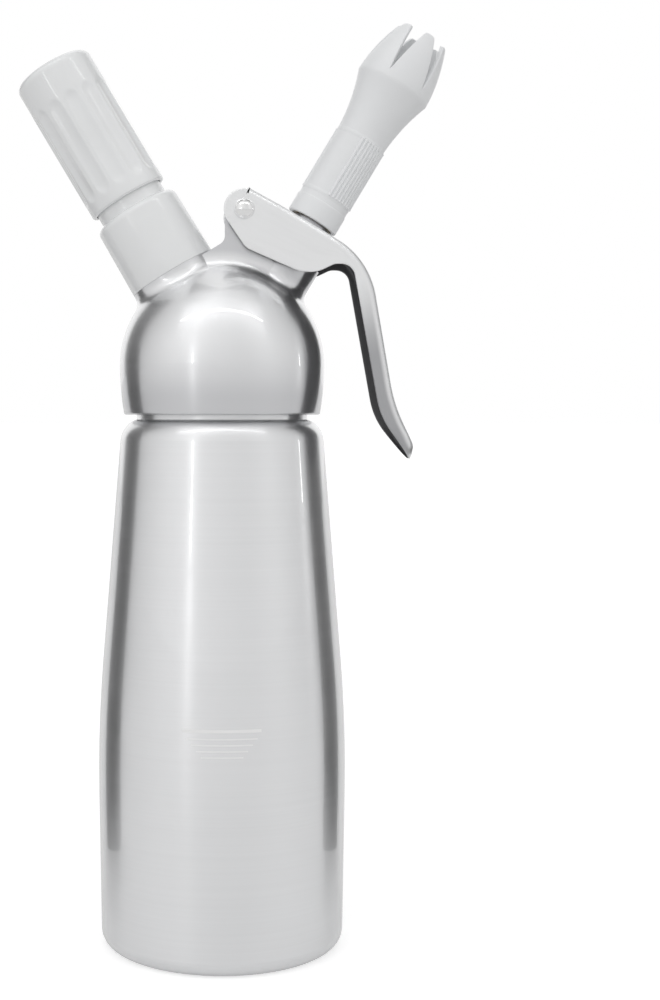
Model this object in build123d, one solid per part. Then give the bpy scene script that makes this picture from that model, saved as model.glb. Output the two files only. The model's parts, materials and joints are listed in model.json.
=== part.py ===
from build123d import *
from math import cos, radians, sin
import os

# Whipped cream dispenser for half a litre of cream and one 8 g gas charger.
# Millimetres, +Z up, origin at the centre of the base. +X is the side of the lever and the
# decorating tip, -X the side of the gas charger. Points of turned pieces are (radius, height).
# Threads are rings at the pitch on the male side and a plain bore on the female side.

# ---- clearances ----
running = 0.05              # radial, between a turning or sliding piece and its bore
thread_gap = 0.05           # radial, between screwed pieces of one body
free_gap = 0.3              # between faces of pieces that move apart
near = 0.02                 # how close a point counts as lying on a surface

# ---- bottle ----
base_radius = 39.2
base_corner = 5.0
base_recess_depth = 1.5
base_ring_width = 3.0
widest_radius = 40.55
widest_height = 70.0
widest_blend = 450.0
shoulder_height = 170.6
shoulder_edge_radius = 32.7
shoulder_corner = 7.5
bottle_wall = 1.5
neck_radius = 27.9
neck_wall = 2.2
neck_height = 15.4
neck_thread_depth = 0.9
neck_thread_pitch = 4.0
neck_thread_count = 3
neck_thread_start = 3.6     # first ring's centre above the shoulder

# ---- head casting ----
rim_gap = 1.2               # between the shoulder and the head's rim
rim_radius = 32.0
rim_edge = 0.8
dome_radius = 33.5
dome_rise = 16.0            # of the dome's equator above the rim
cavity_radius = 24.0
casting_blend = 4.5         # between the dome and what stands on it
gasket_thickness = 2.5
gasket_width = 3.6

# ---- gas charger axis, leaning towards -X ----
gas_tilt = 30.8
gas_axis_rise = 3.3         # of its crossing with the bottle's axis above the dome's equator
gas_boss_radius = 14.8
gas_boss_top = 31.4         # along the gas axis, from its crossing with the bottle's axis
port_nut_length = 4.0
port_nut_radius = 6.0
port_screw_radius = 8.5
port_flange_radius = 11.5
port_flange_thickness = 2.5
port_thread_radius = 10.6
port_thread_depth = 0.5
port_thread_pitch = 1.5
port_thread_count = 5
port_passage_radius = 1.2
collar_top = 55.6
collar_top_radius = 14.35
collar_corner = 1.9
collar_neck_radius = 11.7
collar_neck_overlap = 0.9   # how far the collar's neck reaches into the holder

# ---- charger ----
charger_radius = 9.0
charger_length = 65.5
charger_wall = 1.9
charger_cap = 1.2           # thickness of the mouth's closed end
charger_neck_radius = 4.3
charger_neck_length = 8.0
charger_shoulder = 6.5
charger_start = 41.5        # the charger's mouth, along the gas axis
pierced_hole_radius = 1.15
charger_seal_thickness = 2.0
charger_seal_gap = 0.2      # round the pin
pin_radius = 1.95
pin_tip_radius = 1.0
pin_point_radius = 0.3
pin_hole_radius = 0.2
pin_reach = 1.7             # how far the point stands in the charger's neck
sleeve_thickness = 0.8
sleeve_inset = 0.5          # from each end of the port's nut

# ---- charger holder ----
holder_start = 59.6         # its open rim, along the gas axis
holder_length = 51.2
holder_radius = 13.35
holder_corner = 2.6
holder_crown = 2.0
holder_rim_depth = 1.2
holder_rim_edge = 0.8
insert_wall = 0.75
insert_length = 8.0
flute_count = 13
flute_phase = 4.0           # degrees of the first flute from the -Y side
flute_depth = 0.6
flute_radius = 8.0
flute_start = 3.2           # above the rim
flute_length = 36.0

# ---- valve axis, leaning towards +X ----
valve_tilt = 31.0
valve_axis_drop = 1.8       # of its crossing with the bottle's axis below the dome's equator
valve_boss_radius = 10.5
valve_boss_top = 43.9       # along the valve axis, from its crossing with the bottle's axis
valve_seat = 28.0
seat_bore_radius = 5.2
spring_ledge = 36.0
stem_radius = 4.6
stem_waist_radius = 4.0
stem_top_radius = 6.0
stem_bore_radius = 2.6
stem_port_radius = 1.1
stem_port_offset = 2.2      # of the side ports above the seat
stem_bore_floor = 0.5       # depth of the stem's bore below its side ports
poppet_radius = 6.6
poppet_seal_thickness = 2.5
poppet_nut_thickness = 3.0
poppet_nut_sides = 6
ring_section = 0.9          # section radius of the stem's O-ring
ring_offset = 5.5           # of the O-ring above the seat
bush_wall = 1.05
bush_flange = 1.0
bush_flange_radius = 9.4
collar_skirt_radius = 7.3
collar_skirt_wall = 1.0
collar_skirt_length = 8.0
press_flange_radius = 9.5
press_flange_thickness = 3.6
press_flange_fall = 0.4
press_land_radius = 6.0
spring_wire_radius = 0.4
spring_coils = 6

# ---- decorating tip ----
tip_base = 57.1             # along the valve axis
tip_base_radius = 8.8
tip_base_length = 6.4
tip_sleeve_radius = 8.55
tip_ring_height = 9.7
tip_ring_rise = 0.35
tip_ring_width = 1.2
tip_grip_top = 30.9
tip_flare_height = 42.0
tip_flare_radius = 10.2
tip_flare_start = 0.05      # outward slope where the flare leaves the ribbed sleeve
tip_belly_height = 51.2
tip_belly_radius = 12.7
tip_belly_slope = 0.3       # outward slope where the flare meets the petals
petal_bulge_height = 61.2
petal_bulge_radius = 11.7
tip_length = 70.7
tip_mouth_radius = 8.6
tip_mouth_slope = -0.5      # inward slope at the petals' ends
tip_wall = 1.5
petal_count = 6
petal_phase = 13.0          # degrees of the first petal's middle from the -Y side
notch_start = 53.6
notch_mouth_width = 5.4
rib_patches = 2
ribs_per_patch = 10
rib_step = 8.6              # degrees
rib_radius = 0.5
rib_patch_phase = 42.7      # degrees of a patch's middle from the -Y side
tip_insert_wall = 1.2
tip_insert_start = 0.8
tip_insert_length = 10.0
tip_thread_pitch = 1.5
tip_thread_count = 5
tip_thread_depth = 0.5
tip_seal_thickness = 1.6
stem_short = 1.0            # from the stem's end to the top of the tip's seal
tip_passage_radius = 5.0

# ---- lever ----
pivot_across = -20.5        # from the valve axis
pivot_along = 48.0
lever_half_width = 13.0
lever_sheet = 1.2
lever_bend = 1.8
ear_radius = 6.6
web_rise = 0.65             # of the back's web above the top of the ears
lever_tip_length = 11.0
stem_slot_gap = 1.2         # between the stem and the hole in the lever
web_start = 4.5             # from the pivot, towards the valve axis
lug_radius = 6.2
lug_half_width = 10.0
lug_back = 6.25             # from the pivot to the lug's upright back
lug_back_drop = 10.0        # of the back's lower end below the pivot
lug_sink = 0.5              # how deep the lug's corners stand in the bosses
lug_corner = 3.0
rivet_radius = 2.5
rivet_head_radius = 3.4
rivet_head_height = 1.6
rivet_head_round = 1.4
pivot_bush_wall = 1.2
pivot_bush_length = 7.0
pivot_bush_flange_radius = 5.2

# Side view of the lever as (X, Z, corner radius), X and Z from the pivot: the back from the
# bend to the point of the handle, then the free edge of the flanges back up to the ear.
back_points = [(40.35, -15.8, 26.0), (48.35, -63.1, 50.0), (54.75, -75.9, 4.0),
               (54.25, -80.3, 0.0)]
edge_points = [(53.85, -80.5, 0.0), (43.55, -66.8, 25.0), (34.85, -17.6, 4.5),
               (29.15, -17.5, 4.0), (20.85, -21.4, 12.0), (0.45, -12.4, 6.0)]

# ---- derived places ----
rim_height = shoulder_height + rim_gap
dome_height = rim_height + dome_rise
gas_axis_height = dome_height + gas_axis_rise
valve_axis_height = dome_height - valve_axis_drop
neck_top = shoulder_height + neck_height
ledge_height = neck_top + gasket_thickness
neck_crest_radius = neck_radius + neck_thread_depth
head_bore_radius = neck_crest_radius + running
port_screw_start = cavity_radius + ledge_height - gas_axis_height
port_inner_end = port_screw_start - port_nut_length
port_tube_radius = port_thread_radius - port_thread_depth
port_bore_radius = charger_radius + free_gap
port_top = holder_start + holder_rim_depth + insert_length
holder_bore_radius = charger_radius + free_gap
insert_bore_radius = port_thread_radius + running
insert_radius = insert_bore_radius + insert_wall
charger_end = charger_start + charger_length
seal_floor = charger_start - charger_seal_thickness
chamber_radius = collar_skirt_radius + running + bush_wall
web_top = pivot_along + ear_radius + web_rise
web_bottom = web_top - lever_sheet
press_top = web_bottom - free_gap
press_bottom = press_top - press_flange_thickness
tip_insert_top = tip_base + tip_insert_start + tip_insert_length
stem_end = tip_insert_top - stem_short
lever_hole_radius = stem_top_radius + stem_slot_gap
stem_groove_radius = seat_bore_radius - running - 2 * ring_section
skirt_bore_radius = collar_skirt_radius - collar_skirt_wall
spring_radius = (seat_bore_radius + skirt_bore_radius) / 2
beyond = 2 * shoulder_height        # longer than any piece, for blocks that cut

gas = Plane((0, 0, gas_axis_height), x_dir=(cos(radians(gas_tilt)), 0, sin(radians(gas_tilt))),
            z_dir=(-sin(radians(gas_tilt)), 0, cos(radians(gas_tilt))))
valve = Plane((0, 0, valve_axis_height),
              x_dir=(cos(radians(valve_tilt)), 0, -sin(radians(valve_tilt))),
              z_dir=(sin(radians(valve_tilt)), 0, cos(radians(valve_tilt))))
pivot = valve.from_local_coords(Vector(pivot_across, 0, pivot_along))
lug_left = pivot.X - lug_back
lever_back = [(pivot.X + x, pivot.Z + z, corner) for x, z, corner in back_points]
lever_edge = [(pivot.X + x, pivot.Z + z, corner) for x, z, corner in edge_points]


def outline(points):
    """Closed face through (x, y, corner radius) points; a point may leave its radius out."""
    places = [point[:2] for point in points]
    corners = [point[2] if len(point) > 2 else 0 for point in points]
    return make_face(FilletPolyline(*places, radius=corners, close=True))


def turned(points):
    """Solid of revolution about Z of an outline of (radius, height, corner radius) points."""
    return revolve(Plane.XZ * outline(points), Axis.Z)


def tube(outer, inner, bottom, top):
    """Plain ring between two radii and two heights."""
    return turned([(inner, bottom), (outer, bottom), (outer, top), (inner, top)])


def rod(radius, bottom, top):
    """Plain cylinder between two heights."""
    return Pos(0, 0, bottom) * Cylinder(radius, top - bottom,
                                        align=(Align.CENTER, Align.CENTER, Align.MIN))


def cross_rod(place, radius, half_length):
    """Cylinder along Y through a place in the XZ plane."""
    return Pos(place.X, 0, place.Z) * Rot(90, 0, 0) * Cylinder(radius, 2 * half_length)


def thread_rings(root, depth, first, pitch, count):
    """Rings of trapezoid section round a root cylinder, one per pitch."""
    half = pitch / 3
    crest = half / 2
    ring = turned([(root - depth, -half), (root, -half), (root + depth, -crest),
                   (root + depth, crest), (root, half), (root - depth, half)])
    return [Pos(0, 0, first + turn * pitch) * ring for turn in range(count)]


# ---- bottle and its joint with the head ----

def bottle_body(inset, corner, floor, top):
    """Body of the bottle inset by a wall, from its floor to the flat of its shoulder."""
    return turned([(0, floor), (base_radius - inset, floor, corner),
                   (widest_radius - inset, widest_height, widest_blend),
                   (shoulder_edge_radius - inset, top, shoulder_corner - inset), (0, top)])


def bottle():
    recess_radius = base_radius - base_corner - base_ring_width
    body = bottle_body(0, base_corner, 0, shoulder_height)
    body += rod(neck_radius, shoulder_height - shoulder_corner, neck_top)
    body += thread_rings(neck_radius, neck_thread_depth, shoulder_height + neck_thread_start,
                         neck_thread_pitch, neck_thread_count)
    body -= bottle_body(bottle_wall, base_corner - bottle_wall, base_recess_depth + bottle_wall,
                        shoulder_height - bottle_wall)
    body -= rod(neck_radius - neck_wall, shoulder_height - shoulder_corner, neck_top)
    return body - turned([(0, 0), (recess_radius, 0),
                          (recess_radius - base_recess_depth, base_recess_depth),
                          (0, base_recess_depth)])


def head_gasket():
    outer = neck_radius + neck_thread_depth / 2
    return tube(outer, outer - gasket_width, neck_top, ledge_height)


# ---- head ----

def dome():
    """Ball above its equator, drawn in gently below it down to the rim."""
    with BuildLine(Plane.XZ) as side:
        top = CenterArc((0, dome_height), dome_radius, 0, 90)
        skirt = TangentArc((dome_radius, dome_height), (rim_radius, rim_height),
                           tangent=(0, -1))
        Polyline(skirt @ 1, (0, rim_height), top @ 1)
    body = revolve(make_face(side.line), Axis.Z)
    return fillet(body.edges().sort_by(Axis.Z)[0], rim_edge)


def hinge_lug():
    """Upright plate between the two bosses that carries the lever's pivot."""
    left = gas.from_local_coords(Vector(gas_boss_radius - lug_sink, 0, gas_boss_top - lug_sink))
    left_foot = gas.from_local_coords(Vector(0, 0, gas_boss_top - lug_sink))
    right = valve.from_local_coords(
        Vector(lug_sink - valve_boss_radius, 0, valve_boss_top - bush_flange - lug_sink))
    right_foot = valve.from_local_coords(Vector(0, 0, spring_ledge))
    block = outline([(lug_left, pivot.Z), (lug_left, pivot.Z - lug_back_drop, lug_corner),
                     (left.X, left.Z), (left_foot.X, left_foot.Z), (left_foot.X, dome_height),
                     (right_foot.X, dome_height), (right_foot.X, right_foot.Z),
                     (right.X, right.Z), (pivot.X + lug_radius, pivot.Z)])
    side = block + Pos(pivot.X, pivot.Z) * Circle(lug_radius)
    plate = extrude(Plane.XZ * side, lug_half_width, both=True)
    above = web_bottom - 4 * free_gap
    return plate - valve * Pos(pivot_across, 0, above) * Box(
        beyond, beyond, beyond, align=(Align.CENTER, Align.CENTER, Align.MIN))


def on_dome(edge):
    """Whether an edge lies on the ball of the dome, above the ball's equator."""
    centre = Vector(0, 0, dome_height)
    reach = [(edge @ share - centre).length for share in (0, 0.25, 0.5, 0.75, 1)]
    seam = edge.geom_type == GeomType.CIRCLE and abs((edge @ 0.5).Y) < near
    return max(abs(r - dome_radius) for r in reach) < near and not seam


def head():
    body = dome()
    body += gas * rod(gas_boss_radius, 0, gas_boss_top)
    body += valve * rod(valve_boss_radius, 0, valve_boss_top)
    body += hinge_lug()
    body = fillet(body.edges().filter_by(on_dome), casting_blend)
    body -= rod(head_bore_radius, rim_height, ledge_height)
    body -= Pos(0, 0, ledge_height) * Sphere(cavity_radius)
    body -= gas * rod(port_screw_radius + thread_gap, 0, gas_boss_top)
    body -= valve * rod(poppet_radius + 2 * free_gap, 0, valve_seat)
    body -= valve * rod(seat_bore_radius, 0, valve_boss_top)
    body -= valve * rod(chamber_radius, spring_ledge, valve_boss_top)
    return body - cross_rod(pivot, rivet_radius + running + pivot_bush_wall, lug_half_width)


# ---- gas side ----

def gas_port_body():
    neck = charger_neck_radius + free_gap
    body = turned([(0, port_inner_end), (port_nut_radius, port_inner_end),
                   (port_nut_radius, port_screw_start), (port_screw_radius, port_screw_start),
                   (port_screw_radius, gas_boss_top), (port_flange_radius, gas_boss_top),
                   (port_flange_radius, gas_boss_top + port_flange_thickness),
                   (port_tube_radius, gas_boss_top + port_flange_thickness),
                   (port_tube_radius, port_top), (0, port_top)])
    first = holder_start + holder_rim_depth + port_thread_pitch / 2
    body += thread_rings(port_tube_radius, port_thread_depth, first, port_thread_pitch,
                         port_thread_count)
    shoulder = charger_start + charger_neck_length
    body -= turned([(0, seal_floor), (neck, seal_floor), (neck, shoulder - free_gap),
                    (port_bore_radius, shoulder + charger_shoulder - free_gap),
                    (port_bore_radius, port_top), (0, port_top)])
    body -= rod(pin_radius + thread_gap, gas_boss_top, seal_floor)
    return body - rod(port_passage_radius, port_inner_end, gas_boss_top)


def piercing_pin():
    point = charger_start + pin_reach
    pin = turned([(0, gas_boss_top), (pin_radius, gas_boss_top), (pin_radius, seal_floor),
                  (pin_tip_radius, seal_floor), (pin_tip_radius, point - pin_tip_radius),
                  (pin_point_radius, point), (0, point)])
    return pin - rod(pin_hole_radius, gas_boss_top, point)


def charger_seal():
    return tube(charger_neck_radius, pin_tip_radius + charger_seal_gap, seal_floor,
                charger_start)


def non_return_sleeve():
    return tube(port_nut_radius + sleeve_thickness, port_nut_radius,
                port_inner_end + sleeve_inset, port_screw_start - sleeve_inset)


def charger_collar():
    """White sleeve over the gas port, with a narrower neck that enters the holder."""
    flange_top = gas_boss_top + port_flange_thickness
    neck_end = holder_start + collar_neck_overlap
    inner = port_tube_radius + thread_gap
    return turned([(port_flange_radius + thread_gap, gas_boss_top),
                   (gas_boss_radius, gas_boss_top),
                   (collar_top_radius, collar_top, collar_corner),
                   (collar_neck_radius, collar_top), (collar_neck_radius, neck_end),
                   (inner, neck_end), (inner, flange_top),
                   (port_flange_radius + thread_gap, flange_top)])


def charger_shape(inset, mouth):
    """Gas charger inset by its wall: neck, shoulder and round end."""
    shoulder = charger_start + charger_neck_length + inset / 2
    centre = charger_end - charger_radius
    body = turned([(0, mouth), (charger_neck_radius - inset, mouth),
                   (charger_neck_radius - inset, shoulder),
                   (charger_radius - inset, shoulder + charger_shoulder),
                   (charger_radius - inset, centre), (0, centre)])
    return body + Pos(0, 0, centre) * Sphere(charger_radius - inset)


def gas_charger():
    inside = charger_start + charger_cap
    body = charger_shape(0, charger_start) - charger_shape(charger_wall, inside)
    return body - rod(pierced_hole_radius, charger_start, inside)


def charger_holder():
    """Closed sleeve with finger flutes; the threaded insert sits above its open rim."""
    end = holder_start + holder_length
    recess_top = holder_start + holder_rim_depth
    crown = RadiusArc((0, end), (holder_radius, end - holder_crown),
                      (holder_radius ** 2 + holder_crown ** 2) / (2 * holder_crown))
    side = make_face([crown, Polyline(crown @ 1, (holder_radius, holder_start),
                                      (0, holder_start), crown @ 0)])
    side = fillet(side.vertices().sort_by(Axis.X)[-2:].sort_by(Axis.Y)[1], holder_corner)
    side = fillet(side.vertices().sort_by(Axis.X)[-2:].sort_by(Axis.Y)[0], holder_rim_edge)
    body = revolve(Plane.XZ * side, Axis.Z)
    flute = Cylinder(flute_radius, flute_length - flute_radius)
    for side in (-1, 1):
        flute += Pos(0, 0, side * (flute_length - flute_radius) / 2) * Sphere(flute_radius)
    middle = holder_start + flute_start + flute_length / 2
    reach = holder_radius - flute_depth + flute_radius
    for turn in range(flute_count):
        angle = flute_phase + turn * 360 / flute_count
        body -= Rot(0, 0, angle) * Pos(0, -reach, middle) * flute
    body -= rod(collar_neck_radius + free_gap, holder_start, recess_top)
    body -= rod(insert_radius + thread_gap, holder_start, recess_top + insert_length)
    centre = charger_end - charger_radius
    return body - rod(holder_bore_radius, recess_top, centre) - (
        Pos(0, 0, centre) * Sphere(holder_bore_radius))


def holder_insert():
    start = holder_start + holder_rim_depth
    return tube(insert_radius, insert_bore_radius, start, start + insert_length)


# ---- valve ----

def valve_stem():
    """Hollow stem: seat end, waist inside the spring, wide threaded end under the tip."""
    groove = valve_seat + ring_offset
    low = valve_seat - poppet_seal_thickness - poppet_nut_thickness
    body = turned([(0, low), (stem_radius, low), (stem_radius, groove - ring_section),
                   (stem_groove_radius, groove - ring_section),
                   (stem_groove_radius, groove + ring_section),
                   (stem_radius, groove + ring_section), (stem_radius, spring_ledge),
                   (stem_waist_radius, spring_ledge), (stem_waist_radius, press_top),
                   (stem_top_radius - tip_thread_depth, press_top),
                   (stem_top_radius - tip_thread_depth, stem_end), (0, stem_end)])
    first = tip_base + tip_insert_start + tip_thread_pitch
    body += thread_rings(stem_top_radius - tip_thread_depth, tip_thread_depth, first,
                         tip_thread_pitch, tip_thread_count)
    ports = valve_seat + stem_port_offset
    body -= rod(stem_bore_radius, ports - stem_port_radius - stem_bore_floor, stem_end)
    for turn in (0, 90):
        body -= Pos(0, 0, ports) * Rot(0, 0, turn) * Rot(90, 0, 0) * Cylinder(
            stem_port_radius, 4 * stem_radius)
    return body


def poppet_seal():
    return tube(poppet_radius, stem_radius, valve_seat - poppet_seal_thickness, valve_seat)


def poppet_nut():
    top = valve_seat - poppet_seal_thickness
    blank = extrude(RegularPolygon(poppet_radius, poppet_nut_sides), poppet_nut_thickness)
    return Pos(0, 0, top - poppet_nut_thickness) * blank - rod(
        stem_radius + thread_gap, top - poppet_nut_thickness, top)


def stem_ring():
    centre = stem_groove_radius + ring_section
    section = Plane.XZ * Pos(centre, valve_seat + ring_offset) * Circle(ring_section)
    return revolve(section, Axis.Z)


def press_collar():
    """Flange under the lever, with a skirt that slides in the bush and covers the spring."""
    skirt_bottom = press_bottom - collar_skirt_length
    return turned([(stem_waist_radius + thread_gap, press_bottom),
                   (skirt_bore_radius, press_bottom), (skirt_bore_radius, skirt_bottom),
                   (collar_skirt_radius, skirt_bottom),
                   (collar_skirt_radius, press_bottom), (press_flange_radius, press_bottom),
                   (press_flange_radius, press_top - press_flange_fall),
                   (press_land_radius, press_top), (stem_waist_radius + thread_gap, press_top)])


def valve_bush():
    bore = collar_skirt_radius + running
    return turned([(bore, spring_ledge), (chamber_radius - thread_gap, spring_ledge),
                   (chamber_radius - thread_gap, valve_boss_top),
                   (bush_flange_radius, valve_boss_top),
                   (bush_flange_radius, valve_boss_top + bush_flange),
                   (bore, valve_boss_top + bush_flange)])


def valve_spring():
    start = spring_ledge + spring_wire_radius + running
    height = press_bottom - spring_wire_radius - running - start
    path = Helix(height / spring_coils, height, spring_radius)
    section = Plane(path @ 0, z_dir=path % 0) * Circle(spring_wire_radius)
    return Pos(0, 0, start) * sweep(section, path)


# ---- decorating tip ----

def tip_profile():
    """Outside of the tip from its base to its mouth, as (radius, height) pieces."""
    shoulder = tip_base + tip_base_length
    grip = tip_base + tip_grip_top
    with BuildLine() as side:
        base = Polyline((0, tip_base), (tip_base_radius, tip_base),
                        (tip_base_radius, shoulder), (tip_sleeve_radius, shoulder),
                        (tip_sleeve_radius, grip))
        belly = Spline(base @ 1, (tip_flare_radius, tip_base + tip_flare_height),
                       (tip_belly_radius, tip_base + tip_belly_height),
                       tangents=[(tip_flare_start, 1), (tip_belly_slope, 1)])
        petals = Spline(belly @ 1, (petal_bulge_radius, tip_base + petal_bulge_height),
                        (tip_mouth_radius, tip_base + tip_length),
                        tangents=[(0, 1), (tip_mouth_slope, 1)])
        Polyline(petals @ 1, (0, tip_base + tip_length), (0, tip_base))
    return make_face(side.line)


def tip_hollow():
    """Passage, then the wide mouth one wall inside the belly and the petals."""
    grip = tip_base + tip_grip_top
    top = tip_base + tip_length
    with BuildLine() as side:
        passage = Polyline((0, tip_insert_top), (tip_passage_radius, tip_insert_top),
                           (tip_passage_radius, grip))
        flare = Spline(passage @ 1, (tip_belly_radius - tip_wall, tip_base + tip_belly_height),
                       tangents=[(0, 1), (tip_flare_start, 1)])
        petals = Spline(flare @ 1, (petal_bulge_radius - tip_wall, tip_base + petal_bulge_height),
                        (tip_mouth_radius - tip_wall, top),
                        tangents=[(0, 1), (tip_mouth_slope, 1)])
        Polyline(petals @ 1, (0, top), (0, tip_insert_top))
    return make_face(side.line)


def decorating_tip():
    body = revolve(Plane.XZ * tip_profile(), Axis.Z)
    ring = tube(tip_sleeve_radius + tip_ring_rise, tip_sleeve_radius - 1, 0, tip_ring_width)
    for height in (tip_ring_height - tip_ring_width, tip_grip_top - tip_ring_width / 2):
        body += Pos(0, 0, tip_base + height) * ring
    rib_bottom = tip_base + tip_ring_height
    rib_top = tip_base + tip_grip_top
    span = (ribs_per_patch - 1) * rib_step
    for patch in range(rib_patches):
        middle = rib_patch_phase + patch * 360 / rib_patches
        for rib in range(ribs_per_patch):
            angle = middle - span / 2 + rib * rib_step
            body += Rot(0, 0, angle) * Pos(0, -tip_sleeve_radius, 0) * rod(
                rib_radius, rib_bottom, rib_top)
    body -= revolve(Plane.XZ * tip_hollow(), Axis.Z)
    seat_radius = stem_top_radius + running + tip_insert_wall + thread_gap
    body -= rod(seat_radius, tip_base, tip_insert_top)
    notch = Plane.XZ * make_face(Polyline(
        (0, tip_base + notch_start), (notch_mouth_width / 2, tip_base + tip_length),
        (-notch_mouth_width / 2, tip_base + tip_length), close=True))
    cutter = extrude(notch, 2 * tip_belly_radius)
    for petal in range(petal_count):
        body -= Rot(0, 0, petal_phase + (petal + 0.5) * 360 / petal_count) * cutter
    return body


def tip_insert():
    bore = stem_top_radius + running
    return tube(bore + tip_insert_wall, bore, tip_base + tip_insert_start,
                tip_insert_top - tip_seal_thickness)


def tip_seal():
    return tube(stem_top_radius + tip_insert_wall, stem_bore_radius, stem_end, tip_insert_top)


# ---- lever and its pivot ----

def lever_outline():
    """Side view: ear, straight top over the valve, bend, handle and the flanges' free edge."""
    top = valve.from_local_coords(Vector(pivot_across, 0, web_top))
    first, second = Vector(*lever_edge[-1][:2]), Vector(pivot.X, pivot.Z)
    away = first - second
    reach = (away.length ** 2 - ear_radius ** 2) ** 0.5
    turn = away.rotate(Axis.Z, -90) * (ear_radius / away.length)
    touch = second + away * (ear_radius / away.length) ** 2 + turn * (reach / away.length)
    points = [(top.X, top.Z)] + lever_back + lever_edge + [(touch.X, touch.Y)]
    return outline(points) + Pos(pivot.X, pivot.Z) * Circle(ear_radius)


def lever_plan(inset):
    """Plan of the lever seen along X: straight sides and a round point at the handle's end."""
    low = lever_back[-1][1] + inset
    half = lever_half_width - inset
    top = pivot.Z + 3 * ear_radius
    bend = low + lever_tip_length
    body = Pos(0, (bend + top) / 2) * Rectangle(2 * half, top - bend)
    return extrude(Plane.YZ * (body + Pos(0, bend) * Ellipse(half, lever_tip_length)), beyond,
                   both=True)


def lever_back_corners(inset):
    """Corners of the back's line, moved into the channel, with their radii kept parallel."""
    start = valve.from_local_coords(Vector(pivot_across + web_start, 0, web_top))
    corners = [(start.X, start.Z, 0)] + lever_back
    places = [Vector(x, z) for x, z, corner in corners]
    runs = [(b - a).normalized() for a, b in zip(places, places[1:])]
    moved = []
    for (x, z, corner), before, after in zip(corners, runs[:1] + runs, runs + runs[-1:]):
        inward = (before + after).rotate(Axis.Z, -90) / (1 + before.dot(after))
        bend = before.cross(after).Z
        moved.append((x + inset * inward.X, z + inset * inward.Y,
                      corner + inset * ((bend > 0) - (bend < 0))))
    return moved


def lever_back_line(inset):
    """Line of the sheet's back, from beside the pivot to the point of the handle."""
    corners = lever_back_corners(inset)
    return FilletPolyline(*[(x, z) for x, z, corner in corners],
                          radius=[corner for x, z, corner in corners[1:-1]])


def lever_hollow():
    """Space inside the channel: the side view without the sheet of the back."""
    inner = lever_back_line(lever_sheet)
    above = valve.from_local_coords(Vector(pivot_across + web_start, 0, web_top + ear_radius))
    tip, start = inner @ 1, inner @ 0
    left = pivot.X - 2 * ear_radius
    frame = Polyline(tip, (tip.X, tip.Y - ear_radius), (left, tip.Y - ear_radius),
                     (left, above.Z), (above.X, above.Z), start)
    side = extrude(Plane.XZ * make_face([inner, frame]), 2 * lever_half_width, both=True)
    return side & lever_plan(lever_sheet)


def lever():
    """Pressed channel: two ears and flanges, a back over the valve and down the handle."""
    billet = extrude(Plane.XZ * lever_outline(), lever_half_width, both=True)
    beyond_ears = valve * Pos(pivot_across + web_start, 0, 0) * Box(
        beyond, beyond, beyond, align=(Align.MIN, Align.CENTER, Align.CENTER))
    back = Plane.XZ * lever_back_line(0)
    bent = billet & beyond_ears
    bends = [edge for edge in bent.edges() if abs(edge.center().Y) > lever_sheet
             and all(back.distance_to(Vector(p.X, 0, p.Z)) < near
                     for p in (edge @ 0.02, edge @ 0.5, edge @ 0.98))]
    body = (billet - beyond_ears) + (fillet(bends, lever_bend) & lever_plan(0))
    body -= lever_hollow()
    body -= valve * rod(lever_hole_radius, pivot_along, web_top + lever_sheet)
    return body - cross_rod(pivot, rivet_radius + thread_gap, lever_half_width)


def lever_pin():
    """Rivet with a rounded head outside each ear."""
    face = lever_half_width
    end = face + rivet_head_height
    pin = turned([(0, -end), (rivet_head_radius, -end, rivet_head_round),
                  (rivet_head_radius, -face), (rivet_radius, -face), (rivet_radius, face),
                  (rivet_head_radius, face), (rivet_head_radius, end, rivet_head_round),
                  (0, end)])
    return Pos(pivot.X, 0, pivot.Z) * Rot(90, 0, 0) * pin


def pivot_bushes():
    """Two flanged bushes in the lug, one from each side."""
    bore = rivet_radius + running
    outer = bore + pivot_bush_wall - thread_gap
    flange_end = lever_half_width - lever_sheet - free_gap
    bush = turned([(bore, lug_half_width - pivot_bush_length),
                   (outer, lug_half_width - pivot_bush_length), (outer, lug_half_width),
                   (pivot_bush_flange_radius, lug_half_width),
                   (pivot_bush_flange_radius, flange_end), (bore, flange_end)])
    return [Pos(pivot.X, 0, pivot.Z) * Rot(side, 0, 0) * bush for side in (90, -90)]


UPRIGHT = [bottle, head_gasket, head, lever, lever_pin, pivot_bushes]
ON_GAS_AXIS = [gas_port_body, piercing_pin, charger_seal, non_return_sleeve, charger_collar,
               gas_charger, charger_holder, holder_insert]
ON_VALVE_AXIS = [valve_stem, poppet_seal, poppet_nut, stem_ring, press_collar, valve_bush,
                 valve_spring, decorating_tip, tip_insert, tip_seal]


def main():
    os.makedirs("parts", exist_ok=True)
    for frame, pieces in ((Plane.XY, UPRIGHT), (gas, ON_GAS_AXIS), (valve, ON_VALVE_AXIS)):
        for piece in pieces:
            shape = piece()
            solids = shape if isinstance(shape, list) else [shape]
            export_step(Compound([frame * solid for solid in solids]),
                        f"parts/{piece.__name__}.step")


main()
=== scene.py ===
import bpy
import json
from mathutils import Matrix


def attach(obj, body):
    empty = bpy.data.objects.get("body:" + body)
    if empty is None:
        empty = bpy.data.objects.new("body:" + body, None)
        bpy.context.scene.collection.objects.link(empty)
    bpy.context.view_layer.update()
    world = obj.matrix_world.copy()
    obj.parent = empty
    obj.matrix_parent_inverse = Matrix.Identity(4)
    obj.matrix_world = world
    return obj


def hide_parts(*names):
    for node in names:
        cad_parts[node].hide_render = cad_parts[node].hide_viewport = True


bl_info = {
    "name": "Whipped Cream Dispenser",
    "version": (1, 0, 0),
    "blender": (4, 5, 0),
    "location": "3D View > Sidebar > Dispenser",
    "description": "Moulded parts, pressed lever, fill mark, finishes and studio",
    "category": "Object",
}

import json
from math import cos, hypot, pi, radians, sin, sqrt

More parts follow.
